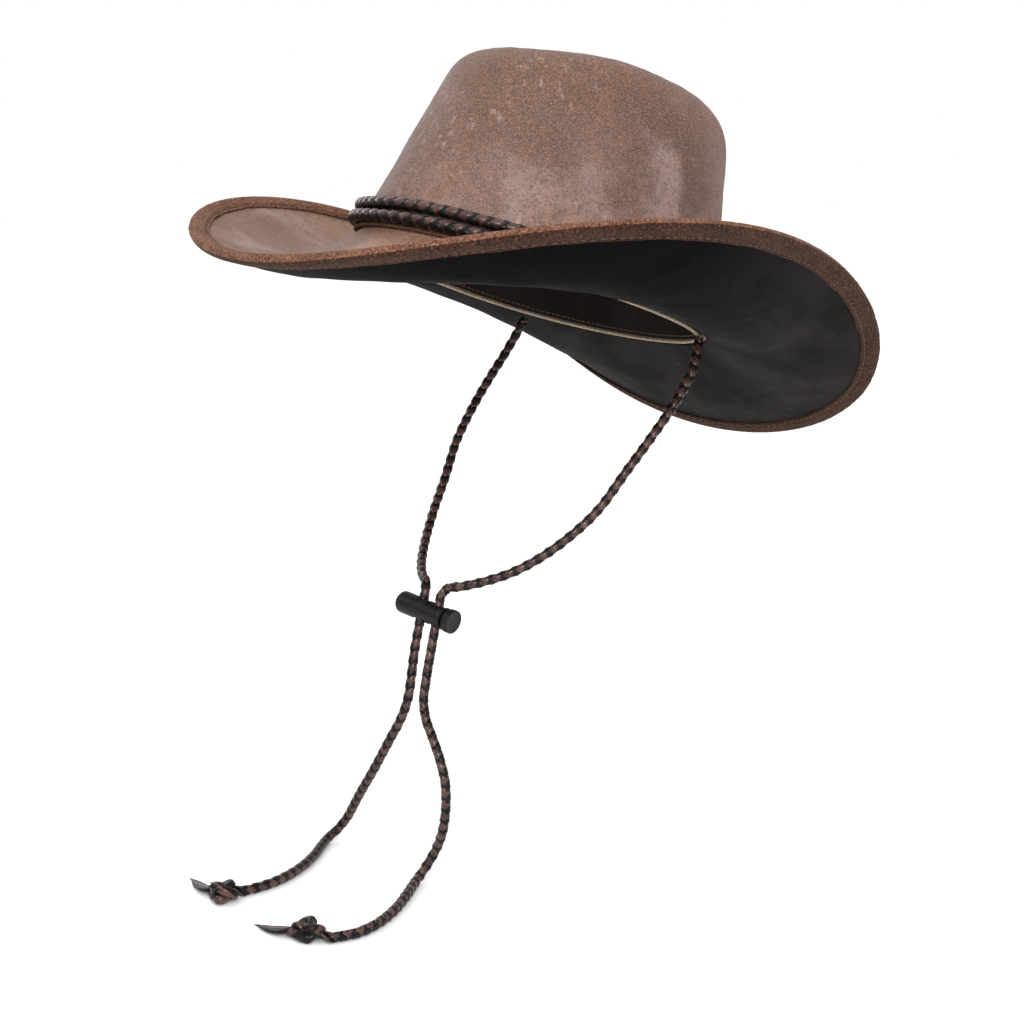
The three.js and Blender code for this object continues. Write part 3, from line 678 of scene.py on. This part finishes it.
# -------------------------------------------------------------------- stitches
def add_stitches(name, place, lift, count, length, radius, node):
    """A row of separate stitches: each dips into the leather at both ends."""
    sides, steps = 7, 9
    points, faces = [], []
    s = np.linspace(-1, 1, steps)
    ring = np.arange(sides) / sides * TAU
    for k in range(count):
        a = (k + 0.5) / count * TAU
        centre, ahead, normal = place(a), place(a + 0.002) - place(a - 0.002), lift(a)
        ahead /= np.linalg.norm(ahead)
        side = np.cross(ahead, normal)
        for along in s:
            swell = radius * max(0.12, math.sqrt(max(0, 1 - along ** 4)))
            core = centre + ahead * along * length / 2 - normal * (radius * 0.9 * along ** 2)
            points.append(core + side * swell * np.cos(ring)[:, None]
                          + normal * swell * np.sin(ring)[:, None])
        first = k * steps * sides
        faces += grid_faces(steps, sides, False, True, first)
        faces += end_caps(steps, sides, first)
    add_piece(name, worn(np.concatenate(points)), faces, [THREAD], node)


def add_all_stitches():
    thread = 0.42
    seat = LAYER_GAP + BINDING_ROLL - thread
    stitch_line = 1.9 - BINDING_WIDTH

    def row(high):
        return lambda a: rim_section(a, [stitch_line], [high])[0]

    def facing(sign):
        def normal(a):
            t = np.array([1 - BINDING_WIDTH / rim_step(a)])
            return sign * brim_normal(np.array([float(a)]), t)[0]
        return normal
    add_stitches("top_stitches", row(seat), facing(1), 265, 3.3, thread, "binding_stitch_top")
    add_stitches("underside_stitches", row(UNDER_FACE - seat), facing(-1), 265, 3.3, thread,
                 "binding_stitch_underside")

    def level(sign):
        return lambda a: sign * outward(np.array(float(a)))
    add_stitches("sweatband_stitches", lambda a: foot_point(a, -0.8, 6.35), level(-1),
                 190, 2.5, 0.4, "sweatband_stitch")
    add_stitches("crown_seam_stitches", lambda a: foot_point(a, 1.2, -0.35), level(1),
                 150, 3.0, thread, "crown_seam_stitch")


# ------------------------------------------------------------------- sweatband
def add_sweatband():
    def section(a):
        a = float(a)
        ripple = 0.25 * math.sin(11 * a) + 0.15 * math.sin(19 * a + 1)
        outer = [wall_point(a, z, 5.3) for z in (30, 24, 18, 12)]
        outer += [foot_point(a, z, 5.3) for z in (3, 0, -1.5, -2.6)]
        inner = [foot_point(a, z, inset) for z, inset in
                 ((-2.8, 6.15), (-2.2, 6.3), (-0.8, 6.1), (0.6, 6.3), (3, 6.3 + 0.3 * ripple))]
        inner += [wall_point(a, z, 6.3 + ripple * k)
                  for z, k in ((12, 1), (18, 1), (24, 0.6), (30, 0.2))]
        return np.stack(outer + inner)
    ring_piece("sweatband_leather", section, 260, [BAND_LEATHER], "sweatband")

    turn = np.arange(12) / 12 * TAU

    def piping(a):
        centre = foot_point(float(a), -3.9, 5.8)
        out = outward(np.array(float(a)))
        swell = 0.9 + 0.05 * math.sin(160 * a)
        return (centre + out * (swell * np.cos(turn))[:, None]
                + np.array([0, 0, 1.0]) * (swell * np.sin(turn))[:, None])
    ring_piece("piping_roll", piping, 720, [PIPING], "sweatband_piping")


# ---------------------------------------------------------------------- braids
SHADED_LACE_EDGES = (0, 5, 6, 11)          # sides of the outline painted black as shade in the gaps between laces


def lace_section(width, thickness):
    """Outline of a flat lace with rounded edges, in (across, out) pairs."""
    turn = np.arange(12) / 12 * TAU
    power = 0.45
    x = np.sign(np.cos(turn)) * np.abs(np.cos(turn)) ** power * width / 2
    y = np.sign(np.sin(turn)) * np.abs(np.sin(turn)) ** (power + 0.2) * thickness / 2
    return x, y


def lace(path, radial, width, thickness, closed, curl):
    """One lace along a path: radial is its outward side at each point."""
    if closed:
        ahead = np.roll(path, -1, axis=0) - np.roll(path, 1, axis=0)
    else:
        ahead = np.gradient(path, axis=0)
    ahead /= np.linalg.norm(ahead, axis=1, keepdims=True)
    across = np.cross(ahead, radial)
    across /= np.linalg.norm(across, axis=1, keepdims=True)
    out = np.cross(across, ahead)
    x, y = lace_section(1, 1)
    x = x[None] * np.broadcast_to(np.asarray(width, float).reshape(-1, 1), (len(path), 1))
    y = y[None] * np.broadcast_to(np.asarray(thickness, float).reshape(-1, 1), (len(path), 1))
    y = y - x * x / (2 * curl)
    return (path[:, None] + across[:, None] * x[..., None] + out[:, None] * y[..., None])


def braid(path, normal, diameter, pitch, phase, hand, seed, closed=False):
    """A round braid of two brown and two black laces along a path.

    The brown pair winds one way and the black pair the other, each passing over
    the other pair in turn. All proportions are shares of the braid's diameter.
    """
    step = np.linalg.norm(np.diff(path, axis=0), axis=1)
    s = np.concatenate([[0], np.cumsum(step)])
    total = s[-1] + (np.linalg.norm(path[0] - path[-1]) if closed else 0)
    if closed:
        ahead = np.roll(path, -1, axis=0) - np.roll(path, 1, axis=0)
        turns = round(total / pitch)
    else:
        ahead = np.gradient(path, axis=0)
        turns = total / pitch
    ahead /= np.linalg.norm(ahead, axis=1, keepdims=True)
    normal = normal - ahead * np.sum(normal * ahead, axis=1, keepdims=True)
    normal /= np.linalg.norm(normal, axis=1, keepdims=True)
    side = np.cross(ahead, normal)
    rng = np.random.default_rng(seed)
    thick, width, extra_black = diameter * 0.23, diameter * 0.8, diameter * 0.1
    middle, swing, curl = diameter * 0.25, diameter * 0.125, diameter * 0.55
    points, faces, kinds = [], [], []
    first = 0
    for pair, way in ((0, hand), (1, -hand)):
        for start in (0, math.pi):
            turn = TAU * turns * s / total
            angle = way * turn + phase + start
            over = np.tanh(1.5 * np.cos(2 * turn)) / math.tanh(1.5) * (1 if pair == 0 else -1)
            jitter = 0.05 * waves(path, diameter * 3, seed + 10 * pair + (start > 0))
            away = middle + swing * over + diameter * 0.1 * jitter
            radial = (normal * np.cos(angle)[:, None] + side * np.sin(angle)[:, None])
            centre = path + radial * away[:, None]
            wide = (width + extra_black * pair) * (1 + 0.08 * over + jitter * 0.6)
            wide = wide * (1 + 0.02 * rng.normal())
            grid = lace(centre, radial, wide, thick, closed, curl)
            rows, columns = grid.shape[:2]
            quads = grid_faces(rows, columns, closed, True, first)
            # painted shade: the edge sides of every lace take the black lace
            kinds += [1 if k % columns in SHADED_LACE_EDGES else pair for k in range(len(quads))]
            if not closed:
                quads += end_caps(rows, columns, first)
                kinds += [pair] * 2
            points.append(grid.reshape(-1, 3))
            faces += quads
            first += rows * columns
    return np.concatenate(points), faces, kinds


def band_centre(angle, height):
    angle = np.asarray(angle, float)
    raised = height + BAND_FRONT_RISE * np.cos(angle) - BAND_SIDE_TILT * np.sin(angle)
    return wall_point(angle, raised, -(BAND_STAND_OFF + BAND_DIAMETER / 2))


def add_hat_bands():
    """Two turns of braid, each a closed ring that joins in the tie at the back."""
    count = 1500
    angles = np.arange(count) / count * TAU
    for name, height, seed, phase in (("lower", BAND_HEIGHTS[0], 5, 0.0),
                                      ("upper", BAND_HEIGHTS[1], 6, 0.35)):
        path = band_centre(angles, height)
        step = np.linalg.norm(np.diff(path, axis=0, append=path[:1]), axis=1)
        along = np.concatenate([[0], np.cumsum(step)])
        even = np.interp(np.arange(count) / count * along[-1], along, np.append(angles, TAU))
        path = band_centre(even, height)
        path[:, 2] += 0.35 * np.sin(3 * even + seed) + 0.2 * np.sin(7 * even)
        points, faces, kinds = braid(worn(path), worn(outward(even)), BAND_DIAMETER, BAND_PITCH,
                                     BAND_PHASE + phase, 1, seed, closed=True)
        add_piece(f"band_braid_{name}", points, faces, [BROWN_LACE, BLACK_LACE],
                  f"hat_band_{name}", kinds=kinds)


def add_tie():
    """The leather sleeve that holds both turns together at the back."""
    back = math.pi
    low, high = (band_centre(back, h) for h in BAND_HEIGHTS)
    out = outward(np.array(back))
    rise = (high - low) / np.linalg.norm(high - low)
    centre = (low + high) / 2
    half = np.linalg.norm(high - low) / 2
    turn = np.arange(40) / 40 * TAU

    def loop(margin):
        power = 0.6
        u = np.sign(np.cos(turn)) * np.abs(np.cos(turn)) ** power * (half + margin)
        w = np.sign(np.sin(turn)) * np.abs(np.sin(turn)) ** power * margin
        return centre + rise * u[:, None] + out * w[:, None]
    radius = BAND_DIAMETER / 2
    rows = []
    for x, margin in ((-5, radius + 0.35), (-5.2, radius + 0.8), (-4.6, radius + 1.3),
                      (-2, radius + 1.5), (2, radius + 1.5), (4.6, radius + 1.3),
                      (5.2, radius + 0.8), (5, radius + 0.35), (0, radius + 0.3)):
        rows.append(loop(margin) + np.array([x, 0, 0]))
    grid = np.stack(rows)
    faces = grid_faces(len(rows), len(turn), True, True)
    add_piece("band_sleeve", worn(grid.reshape(-1, 3)), faces, [BROWN_LACE], "hat_band_tie")


def add_anchors():
    """The flattened ends of the chin cord, sewn in behind the sweatband."""
    half_span, middle, half_thick = 5, 4.45, 0.42
    heights = (18, 12, 6, 0, -2.6)
    for name, centre in (("left", EXIT_ANGLE), ("right", -EXIT_ANGLE)):
        rows = []
        for angle in centre + np.radians(np.linspace(-half_span, half_span, 15)):
            edge = 1 - 0.5 * abs(np.degrees(angle - centre) / half_span) ** 6
            near, far = middle - half_thick * edge, middle + half_thick * edge
            outer = [foot_point(angle, z, near) for z in heights]
            inner = [foot_point(angle, z, far) for z in heights[::-1]]
            rows.append(np.stack(outer + inner))
        grid = np.stack(rows)
        columns = grid.shape[1]
        faces = grid_faces(len(rows), columns, False, True)
        faces += end_caps(len(rows), columns)
        add_piece(f"anchor_{name}", worn(grid.reshape(-1, 3)), faces, [BLACK_LACE],
                  f"cord_anchor_{name}")


# ------------------------------------------------------------------ chin cords
CORD_WAY = np.array([math.sin(LOCK_YAW) * math.sin(WORN_TILT),
                     -math.cos(LOCK_YAW) * math.sin(WORN_TILT), -math.cos(WORN_TILT)])
LEVEL_AXIS = np.array([math.cos(LOCK_YAW), math.sin(LOCK_YAW), 0])
LOCK_AXIS = LEVEL_AXIS * math.cos(LOCK_DIP) + CORD_WAY * math.sin(LOCK_DIP)
LOCK_UP = LEVEL_AXIS * math.sin(LOCK_DIP) - CORD_WAY * math.cos(LOCK_DIP)
CORD_OFFSET = 5.3
ABOVE_LOCK, STRAIGHT_STRETCH = 13.5, (-9.5, -6, 0, 7, 14, 20.5)
JAW_RUN = [
    (70.5, 46, -41), (71, 33, -56), (69.5, 19, -71), (66, 4, -88), (60, -10, -107),
    (53, -23, -120), (44, -36, -131), (34.5, -47, -138.5), (25, -56, -143), (16, -62.5, -146),
]
TAIL_LEFT = [
    (6.6, -79.5, -194), (7.5, -82, -204), (11, -83.5, -213), (17, -84.2, -221.5),
    (23.5, -85, -231), (27.5, -85, -242), (27.5, -84.5, -254), (23.5, -83, -268),
    (17, -81.5, -280), (12, -83.5, -290), (12, -89.5, -295.6), (16.5, -97.5, -297),
    (25, -109, -297), (35.5, -125, -297), (43.5, -143, -297), (45.5, -156, -297),
    (42, -169, -297),
]
TAIL_RIGHT = [
    (-3.4, -81, -193.5), (-3.2, -83, -203), (-5.5, -84, -211.5), (-10, -84.5, -220),
    (-16, -85, -229), (-24, -85, -240.5), (-33, -84.5, -252.5), (-42.5, -83.5, -264),
    (-52, -82, -275.5), (-60, -81, -285.5), (-65.5, -83.5, -293), (-66, -90, -296.7),
    (-60.5, -98, -297), (-50.5, -111, -297), (-42, -125.5, -297), (-36, -141, -297),
    (-34, -155, -297), (-35, -167, -297),
]
KNOTS = {
    "left": dict(centre=(31, -176, -292.4), tip=(1, -184, -297.8)),
    "right": dict(centre=(-36.5, -179, -292.4), tip=(-70.5, -174, -297.8)),
}


def smooth_route(points, per_span=24):
    """A centripetal Catmull-Rom curve through the points."""
    p = np.asarray(points, float)
    p = np.concatenate([[2 * p[0] - p[1]], p, [2 * p[-1] - p[-2]]])
    out = []
    for i in range(1, len(p) - 2):
        knots = [0.0]
        for a, b in zip(p[i - 1:i + 2], p[i:i + 3]):
            knots.append(knots[-1] + max(1e-4, np.linalg.norm(b - a)) ** 0.5)
        t0, t1, t2, t3 = knots
        t = np.linspace(t1, t2, per_span, endpoint=False)[:, None]
        a1 = (t1 - t) / (t1 - t0) * p[i - 1] + (t - t0) / (t1 - t0) * p[i]
        a2 = (t2 - t) / (t2 - t1) * p[i] + (t - t1) / (t2 - t1) * p[i + 1]
        a3 = (t3 - t) / (t3 - t2) * p[i + 1] + (t - t2) / (t3 - t2) * p[i + 2]
        b1 = (t2 - t) / (t2 - t0) * a1 + (t - t0) / (t2 - t0) * a2
        b2 = (t3 - t) / (t3 - t1) * a2 + (t - t1) / (t3 - t1) * a3
        out.append((t2 - t) / (t2 - t1) * b1 + (t - t1) / (t2 - t1) * b2)
    return np.concatenate(out + [p[-2:-1]])


def evenly(path, spacing):
    step = np.linalg.norm(np.diff(path, axis=0), axis=1)
    along = np.concatenate([[0], np.cumsum(step)])
    at = np.linspace(0, along[-1], max(2, int(along[-1] / spacing) + 1))
    return np.stack([np.interp(at, along, path[:, k]) for k in range(3)], axis=1), along[-1]


def carried_normals(path, start):
    """A side direction carried along the path without twisting round it."""
    ahead = np.gradient(path, axis=0)
    ahead /= np.linalg.norm(ahead, axis=1, keepdims=True)
    normals = [np.asarray(start, float)]
    for way in ahead:
        side = normals[-1] - way * np.dot(normals[-1], way)
        normals.append(side / np.linalg.norm(side))
    return np.stack(normals[1:])


def cord_route(side, tail):
    """From the anchor, down the jaw, straight through the lock and down the tail."""
    through = LOCK_CENTRE + LOCK_AXIS * side * CORD_OFFSET
    start = worn(oval(side * EXIT_ANGLE, EXIT_INSET, EXIT_Z))
    jaw = [np.array([side * x, y, z]) for x, y, z in JAW_RUN]
    above = through - CORD_WAY * ABOVE_LOCK
    turn = above + (jaw[-1] - above) * 0.25
    in_lock = [through + CORD_WAY * d for d in STRAIGHT_STRETCH]
    return [start, *jaw, turn, *in_lock, *[np.array(p, float) for p in tail]]


def add_cord(name, side, tail):
    path, length = evenly(smooth_route(cord_route(side, tail)), 0.75)
    normals = carried_normals(path, (1, 0, 0))
    points, faces, kinds = braid(path, normals, CORD_DIAMETER, CORD_PITCH, CORD_PHASE, side,
                                 40 + side)
    piece = add_piece(f"{name}_braid", points, faces, [BROWN_LACE, BLACK_LACE],
                      name, kinds=kinds)
    return piece, path, length


def knot_path(centre, tip, arrival):
    """An overhand knot between the cord's end and the loose laces."""
    heading = np.array([tip[0] - centre[0], tip[1] - centre[1], 0.0])
    heading /= np.linalg.norm(heading)
    across = np.array([-heading[1], heading[0], 0.0])
    radius, tube = 4.3, 2.5
    t = np.linspace(0.42, TAU - 0.42, 40)
    u = (radius + tube * np.cos(3 * t)) * np.cos(2 * t)
    w = (radius + tube * np.cos(3 * t)) * np.sin(2 * t)
    h = tube * np.sin(3 * t)
    base = np.array([centre[0], centre[1], FLOOR_Z + tube + 2.9])
    body = (base + across * (u - 1.0)[:, None] + heading * w[:, None]
            + np.array([0, 0, 1]) * h[:, None])
    leave = base + heading * 8.8 + across * 1.2
    leave[2] = FLOOR_Z + 3
    return smooth_route([arrival, *body[::3], leave], 20), heading


def add_knot(name, facts, cord_path):
    centre, tip = np.array(facts["centre"]), np.array(facts["tip"])
    path, heading = knot_path(centre, tip, cord_path[-1])
    path, _ = evenly(path, 0.7)
    normals = carried_normals(path, (0.3, 0.1, 1))
    diameter, pitch, phase = 5.2, 36.0, 0.4
    points, faces, kinds = braid(path, normals, diameter, pitch, phase, 1, 60)
    points[:, 2] = np.maximum(points[:, 2], FLOOR_Z + 0.05)
    knot = add_piece(f"knot_{name}", points, faces, [BROWN_LACE, BLACK_LACE],
                     f"tail_knot_{name}", kinds=kinds)

    across = np.array([-heading[1], heading[0], 0.0])
    start = path[-1]
    points, faces, kinds, first = [], [], [], 0
    reach = np.linalg.norm((tip - start)[:2])
    for k, (side, lift, share) in enumerate(((-1.0, 0.5, 1.0), (-0.2, 1.0, 0.86),
                                             (0.5, 0.4, 0.94), (1.1, 0.9, 0.72))):
        s = np.linspace(0, 1, 40)
        run = start + heading * (reach * share * s)[:, None]
        bow = side * (0.7 + 0.9 * np.sin(math.pi * s ** 0.8)) * (1 - 0.35 * s)
        run = run + across * (bow + 0.4 * np.sin(7 * s + 2 * k))[:, None]
        run[:, 2] = FLOOR_Z + 1.1 + (2.6 * lift + 0.8) * (1 - s) ** 1.2 + 0.6 * lift
        normal = np.tile(np.array([0.25 * side, 0.2, 1.0]), (40, 1))
        width = 4.3 * (0.75 + 0.45 * np.sin(math.pi * s)) * (1 - 0.85 * s ** 3)
        grid = lace(run, normal, width, 1.3 * (1 - 0.5 * s), False, 3)
        rows, columns = grid.shape[:2]
        quads = grid_faces(rows, columns, False, True, first) + end_caps(rows, columns, first)
        points.append(grid.reshape(-1, 3))
        faces += quads
        kinds += [1 if k == 1 else 0] * len(quads)
        first += rows * columns
    ends = add_piece(f"loose_laces_{name}", np.concatenate(points), faces,
                     [BLACK_LACE, BROWN_LACE], f"tail_ends_{name}", kinds=kinds)
    return [knot, ends]


# ------------------------------------------------------------------- cord lock
def lock_frame(points):
    """Lock points (along the barrel, across it, up the cords) in the hat's frame."""
    p = np.asarray(points, float)
    across = np.cross(LOCK_UP, LOCK_AXIS)
    return (LOCK_CENTRE + p[..., :1] * LOCK_AXIS + p[..., 1:2] * across + p[..., 2:] * LOCK_UP)


def lathe(profile):
    """A body turned about the lock's axis from (along, radius) pairs."""
    segments = 96
    turn = np.arange(segments) / segments * TAU
    rows = [np.stack([np.full(segments, float(x)), r * np.cos(turn), r * np.sin(turn)], axis=-1)
            for x, r in profile]
    faces = grid_faces(len(rows), segments, False, True) + end_caps(len(rows), segments)
    return np.stack(rows).reshape(-1, 3), faces


def rounded(corners, radius):
    """A profile with its corners rounded off."""
    out = [corners[0]]
    for before, here, after in zip(corners, corners[1:], corners[2:]):
        before, here, after = (np.array(v, float) for v in (before, here, after))
        reach = min(radius, np.linalg.norm(before - here) / 2, np.linalg.norm(after - here) / 2)
        a = here + (before - here) / np.linalg.norm(before - here) * reach
        b = here + (after - here) / np.linalg.norm(after - here) * reach
        for t in np.linspace(0, 1, 5):
            out.append(tuple((1 - t) ** 2 * a + 2 * t * (1 - t) * here + t * t * b))
    out.append(corners[-1])
    return out


def cut_away(piece, shapes):
    """Takes the shapes out of the piece for good."""
    for shape in shapes:
        modifier = piece.modifiers.new("cut", "BOOLEAN")
        modifier.operation = "DIFFERENCE"
        modifier.solver = "EXACT"
        modifier.object = shape
    ready = piece.evaluated_get(bpy.context.evaluated_depsgraph_get())
    mesh = bpy.data.meshes.new_from_object(ready)
    piece.modifiers.clear()
    piece.data = mesh
    mesh.set_sharp_from_angle(angle=SHARP_ANGLE)
    for shape in shapes:
        bpy.data.objects.remove(shape)


def slot_cutter(middle, half_long, half_wide):
    """A round-ended slot across the lock, along the cords."""
    sides, past_barrel = 32, 9.0
    turn = np.arange(sides) / sides * TAU
    flat = half_long - half_wide
    x = middle + half_wide * np.cos(turn) + flat * np.sign(np.cos(turn))
    y = half_wide * np.sin(turn)
    rows = np.stack([np.stack([x, y, np.full(sides, z)], axis=-1)
                     for z in (-past_barrel, past_barrel)])
    faces = grid_faces(2, sides, False, True) + end_caps(2, sides)
    return solid("cutter", lock_frame(rows.reshape(-1, 3)), faces)


def add_lock():
    """The barrel, the button that slides in it, and the spring between them."""
    radius, bore = 5.8, 4.4
    nose = [(-17.5 - 2.8 * math.cos(v), 3.0 + 2.8 * math.sin(v))
            for v in np.linspace(0, math.pi / 2, 12)]
    outside = [(-20.3, 0.02), *nose] + rounded(
        [(-17, radius), (9.0, radius), (9.2, 5.55), (9.6, 5.55), (9.8, radius), (10.6, radius),
         (10.6, bore), (-18.3, bore), (-18.3, 0.02)], 0.3)
    points, faces = lathe(outside)
    barrel = add_piece("lock_barrel_moulding", lock_frame(points), faces, [PLASTIC],
                       "lock_barrel", body="cord_lock")
    hole = CORD_DIAMETER / 2 + 0.3
    cut_away(barrel, [slot_cutter(side * CORD_OFFSET, hole + LOCK_SLANT, hole)
                      for side in (-1, 1)])

    plunger, head, travel = 4.1, 6.2, 2.0
    profile = rounded([(-10.4, 0.02), (-10.4, plunger), (12.9, plunger), (12.9, head),
                       (16.4, head), (16.4, 4.7), (16.2, 4.4), (16.2, 0.02)], 0.45)
    points, faces = lathe(profile)
    button = add_piece("lock_button_moulding", lock_frame(points), faces, [PLASTIC],
                       "lock_button", body="button")
    cut_away(button, [slot_cutter(side * CORD_OFFSET + travel / 2,
                                  hole + LOCK_SLANT + travel / 2, hole) for side in (-1, 1)])

    turns, coil, wire, start, end = 3.5, 3.1, 0.35, -17.6, -11.1
    steps, sides = 120, 8
    t = np.linspace(0, 1, steps)
    a = TAU * turns * t
    path = np.stack([start + (end - start) * t, coil * np.cos(a), coil * np.sin(a)], axis=-1)
    radial = np.stack([0 * a, np.cos(a), np.sin(a)], axis=-1)
    ring = np.arange(sides) / sides * TAU
    grid = (path[:, None] + radial[:, None] * (wire * np.cos(ring))[None, :, None]
            + np.array([1, 0, 0]) * (wire * np.sin(ring))[None, :, None])
    faces = grid_faces(steps, sides, False, True) + end_caps(steps, sides)
    spring = add_piece("lock_spring_wire", lock_frame(grid.reshape(-1, 3)), faces, [STEEL],
                       "lock_spring", body="cord_lock")
    anchor = tuple(lock_frame(np.array([-18.0, 0, 0])) * MM)
    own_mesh(spring)
    return [barrel, button, spring]


def add_chin_cords():
    lock_pieces = add_lock()
    for name, side, tail in (("left", 1, TAIL_LEFT), ("right", -1, TAIL_RIGHT)):
        cord, path, length = add_cord(f"chin_cord_{name}", side, tail)
        on_it = add_knot(name, KNOTS[name], path)
        if side == 1:
            on_it += lock_pieces


add_chin_cords()
add_crown()
add_brim()
add_binding()
add_wire()
add_all_stitches()
add_sweatband()
add_hat_bands()
add_tie()
add_anchors()


# ------------------------------------------------------------- floor and light
def add_floor():
    half = 6.0
    mesh = bpy.data.meshes.new("floor")
    z = FLOOR_Z * MM
    mesh.from_pydata([(-half, -half, z), (half, -half, z), (half, half, z), (-half, half, z)],
                     [], [[0, 1, 2, 3]])
    s = Shader("pale_floor", Roughness=0.9, Specular_IOR_Level=0.1)
    s.colour(s.blend(s.band(s.noise(3, 2), 0.3, 0.7), (0.88, 0.88, 0.88), (0.9, 0.9, 0.9)))
    mesh.materials.append(s.material)
    floor = bpy.data.objects.new("floor", mesh)
    bpy.context.collection.objects.link(floor)


def add_light(name, kind, place, target, size, power):
    """A softbox (size in metres, watts) or a wide sun (size in radians, W/m2)."""
    data = bpy.data.lights.new(name, kind)
    if kind == "AREA":
        data.shape = "SQUARE"
        data.size = size
    else:
        data.angle = size
    data.energy = power
    light = bpy.data.objects.new(name, data)
    way = Vector(target) - Vector(place)
    light.rotation_euler = way.to_track_quat("-Z", "Y").to_euler()
    light.location = place
    bpy.context.collection.objects.link(light)


def add_lighting():
    """A white backdrop, a dimmer room, a wide overhead light and softboxes."""
    world = bpy.data.worlds.new("studio")
    bpy.context.scene.world = world
    world.use_nodes = True
    nodes, links = world.node_tree.nodes, world.node_tree.links
    room = nodes["Background"]
    room.inputs["Color"].default_value = (1, 1, 1, 1)
    room.inputs["Strength"].default_value = 0.5
    backdrop = nodes.new("ShaderNodeBackground")
    backdrop.inputs["Color"].default_value = (1, 1, 1, 1)
    seen = nodes.new("ShaderNodeLightPath")
    both = nodes.new("ShaderNodeMixShader")
    links.new(seen.outputs["Is Camera Ray"], both.inputs["Fac"])
    links.new(room.outputs["Background"], both.inputs[1])
    links.new(backdrop.outputs["Background"], both.inputs[2])
    links.new(both.outputs["Shader"], nodes["World Output"].inputs["Surface"])
    add_light("overhead", "SUN", (0, 0, 2), (0, 0, 0), math.radians(130), 2.6)
    add_light("softbox_key", "AREA", (1.3, -1.2, 0.75), (0, 0, 0), 1.0, 30)
    add_light("softbox_rear", "AREA", (-1.5, 0.1, 0.4), (0, 0, 0), 0.8, 4)


add_floor()
add_lighting()
bpy.context.scene.view_settings.view_transform = "Standard"
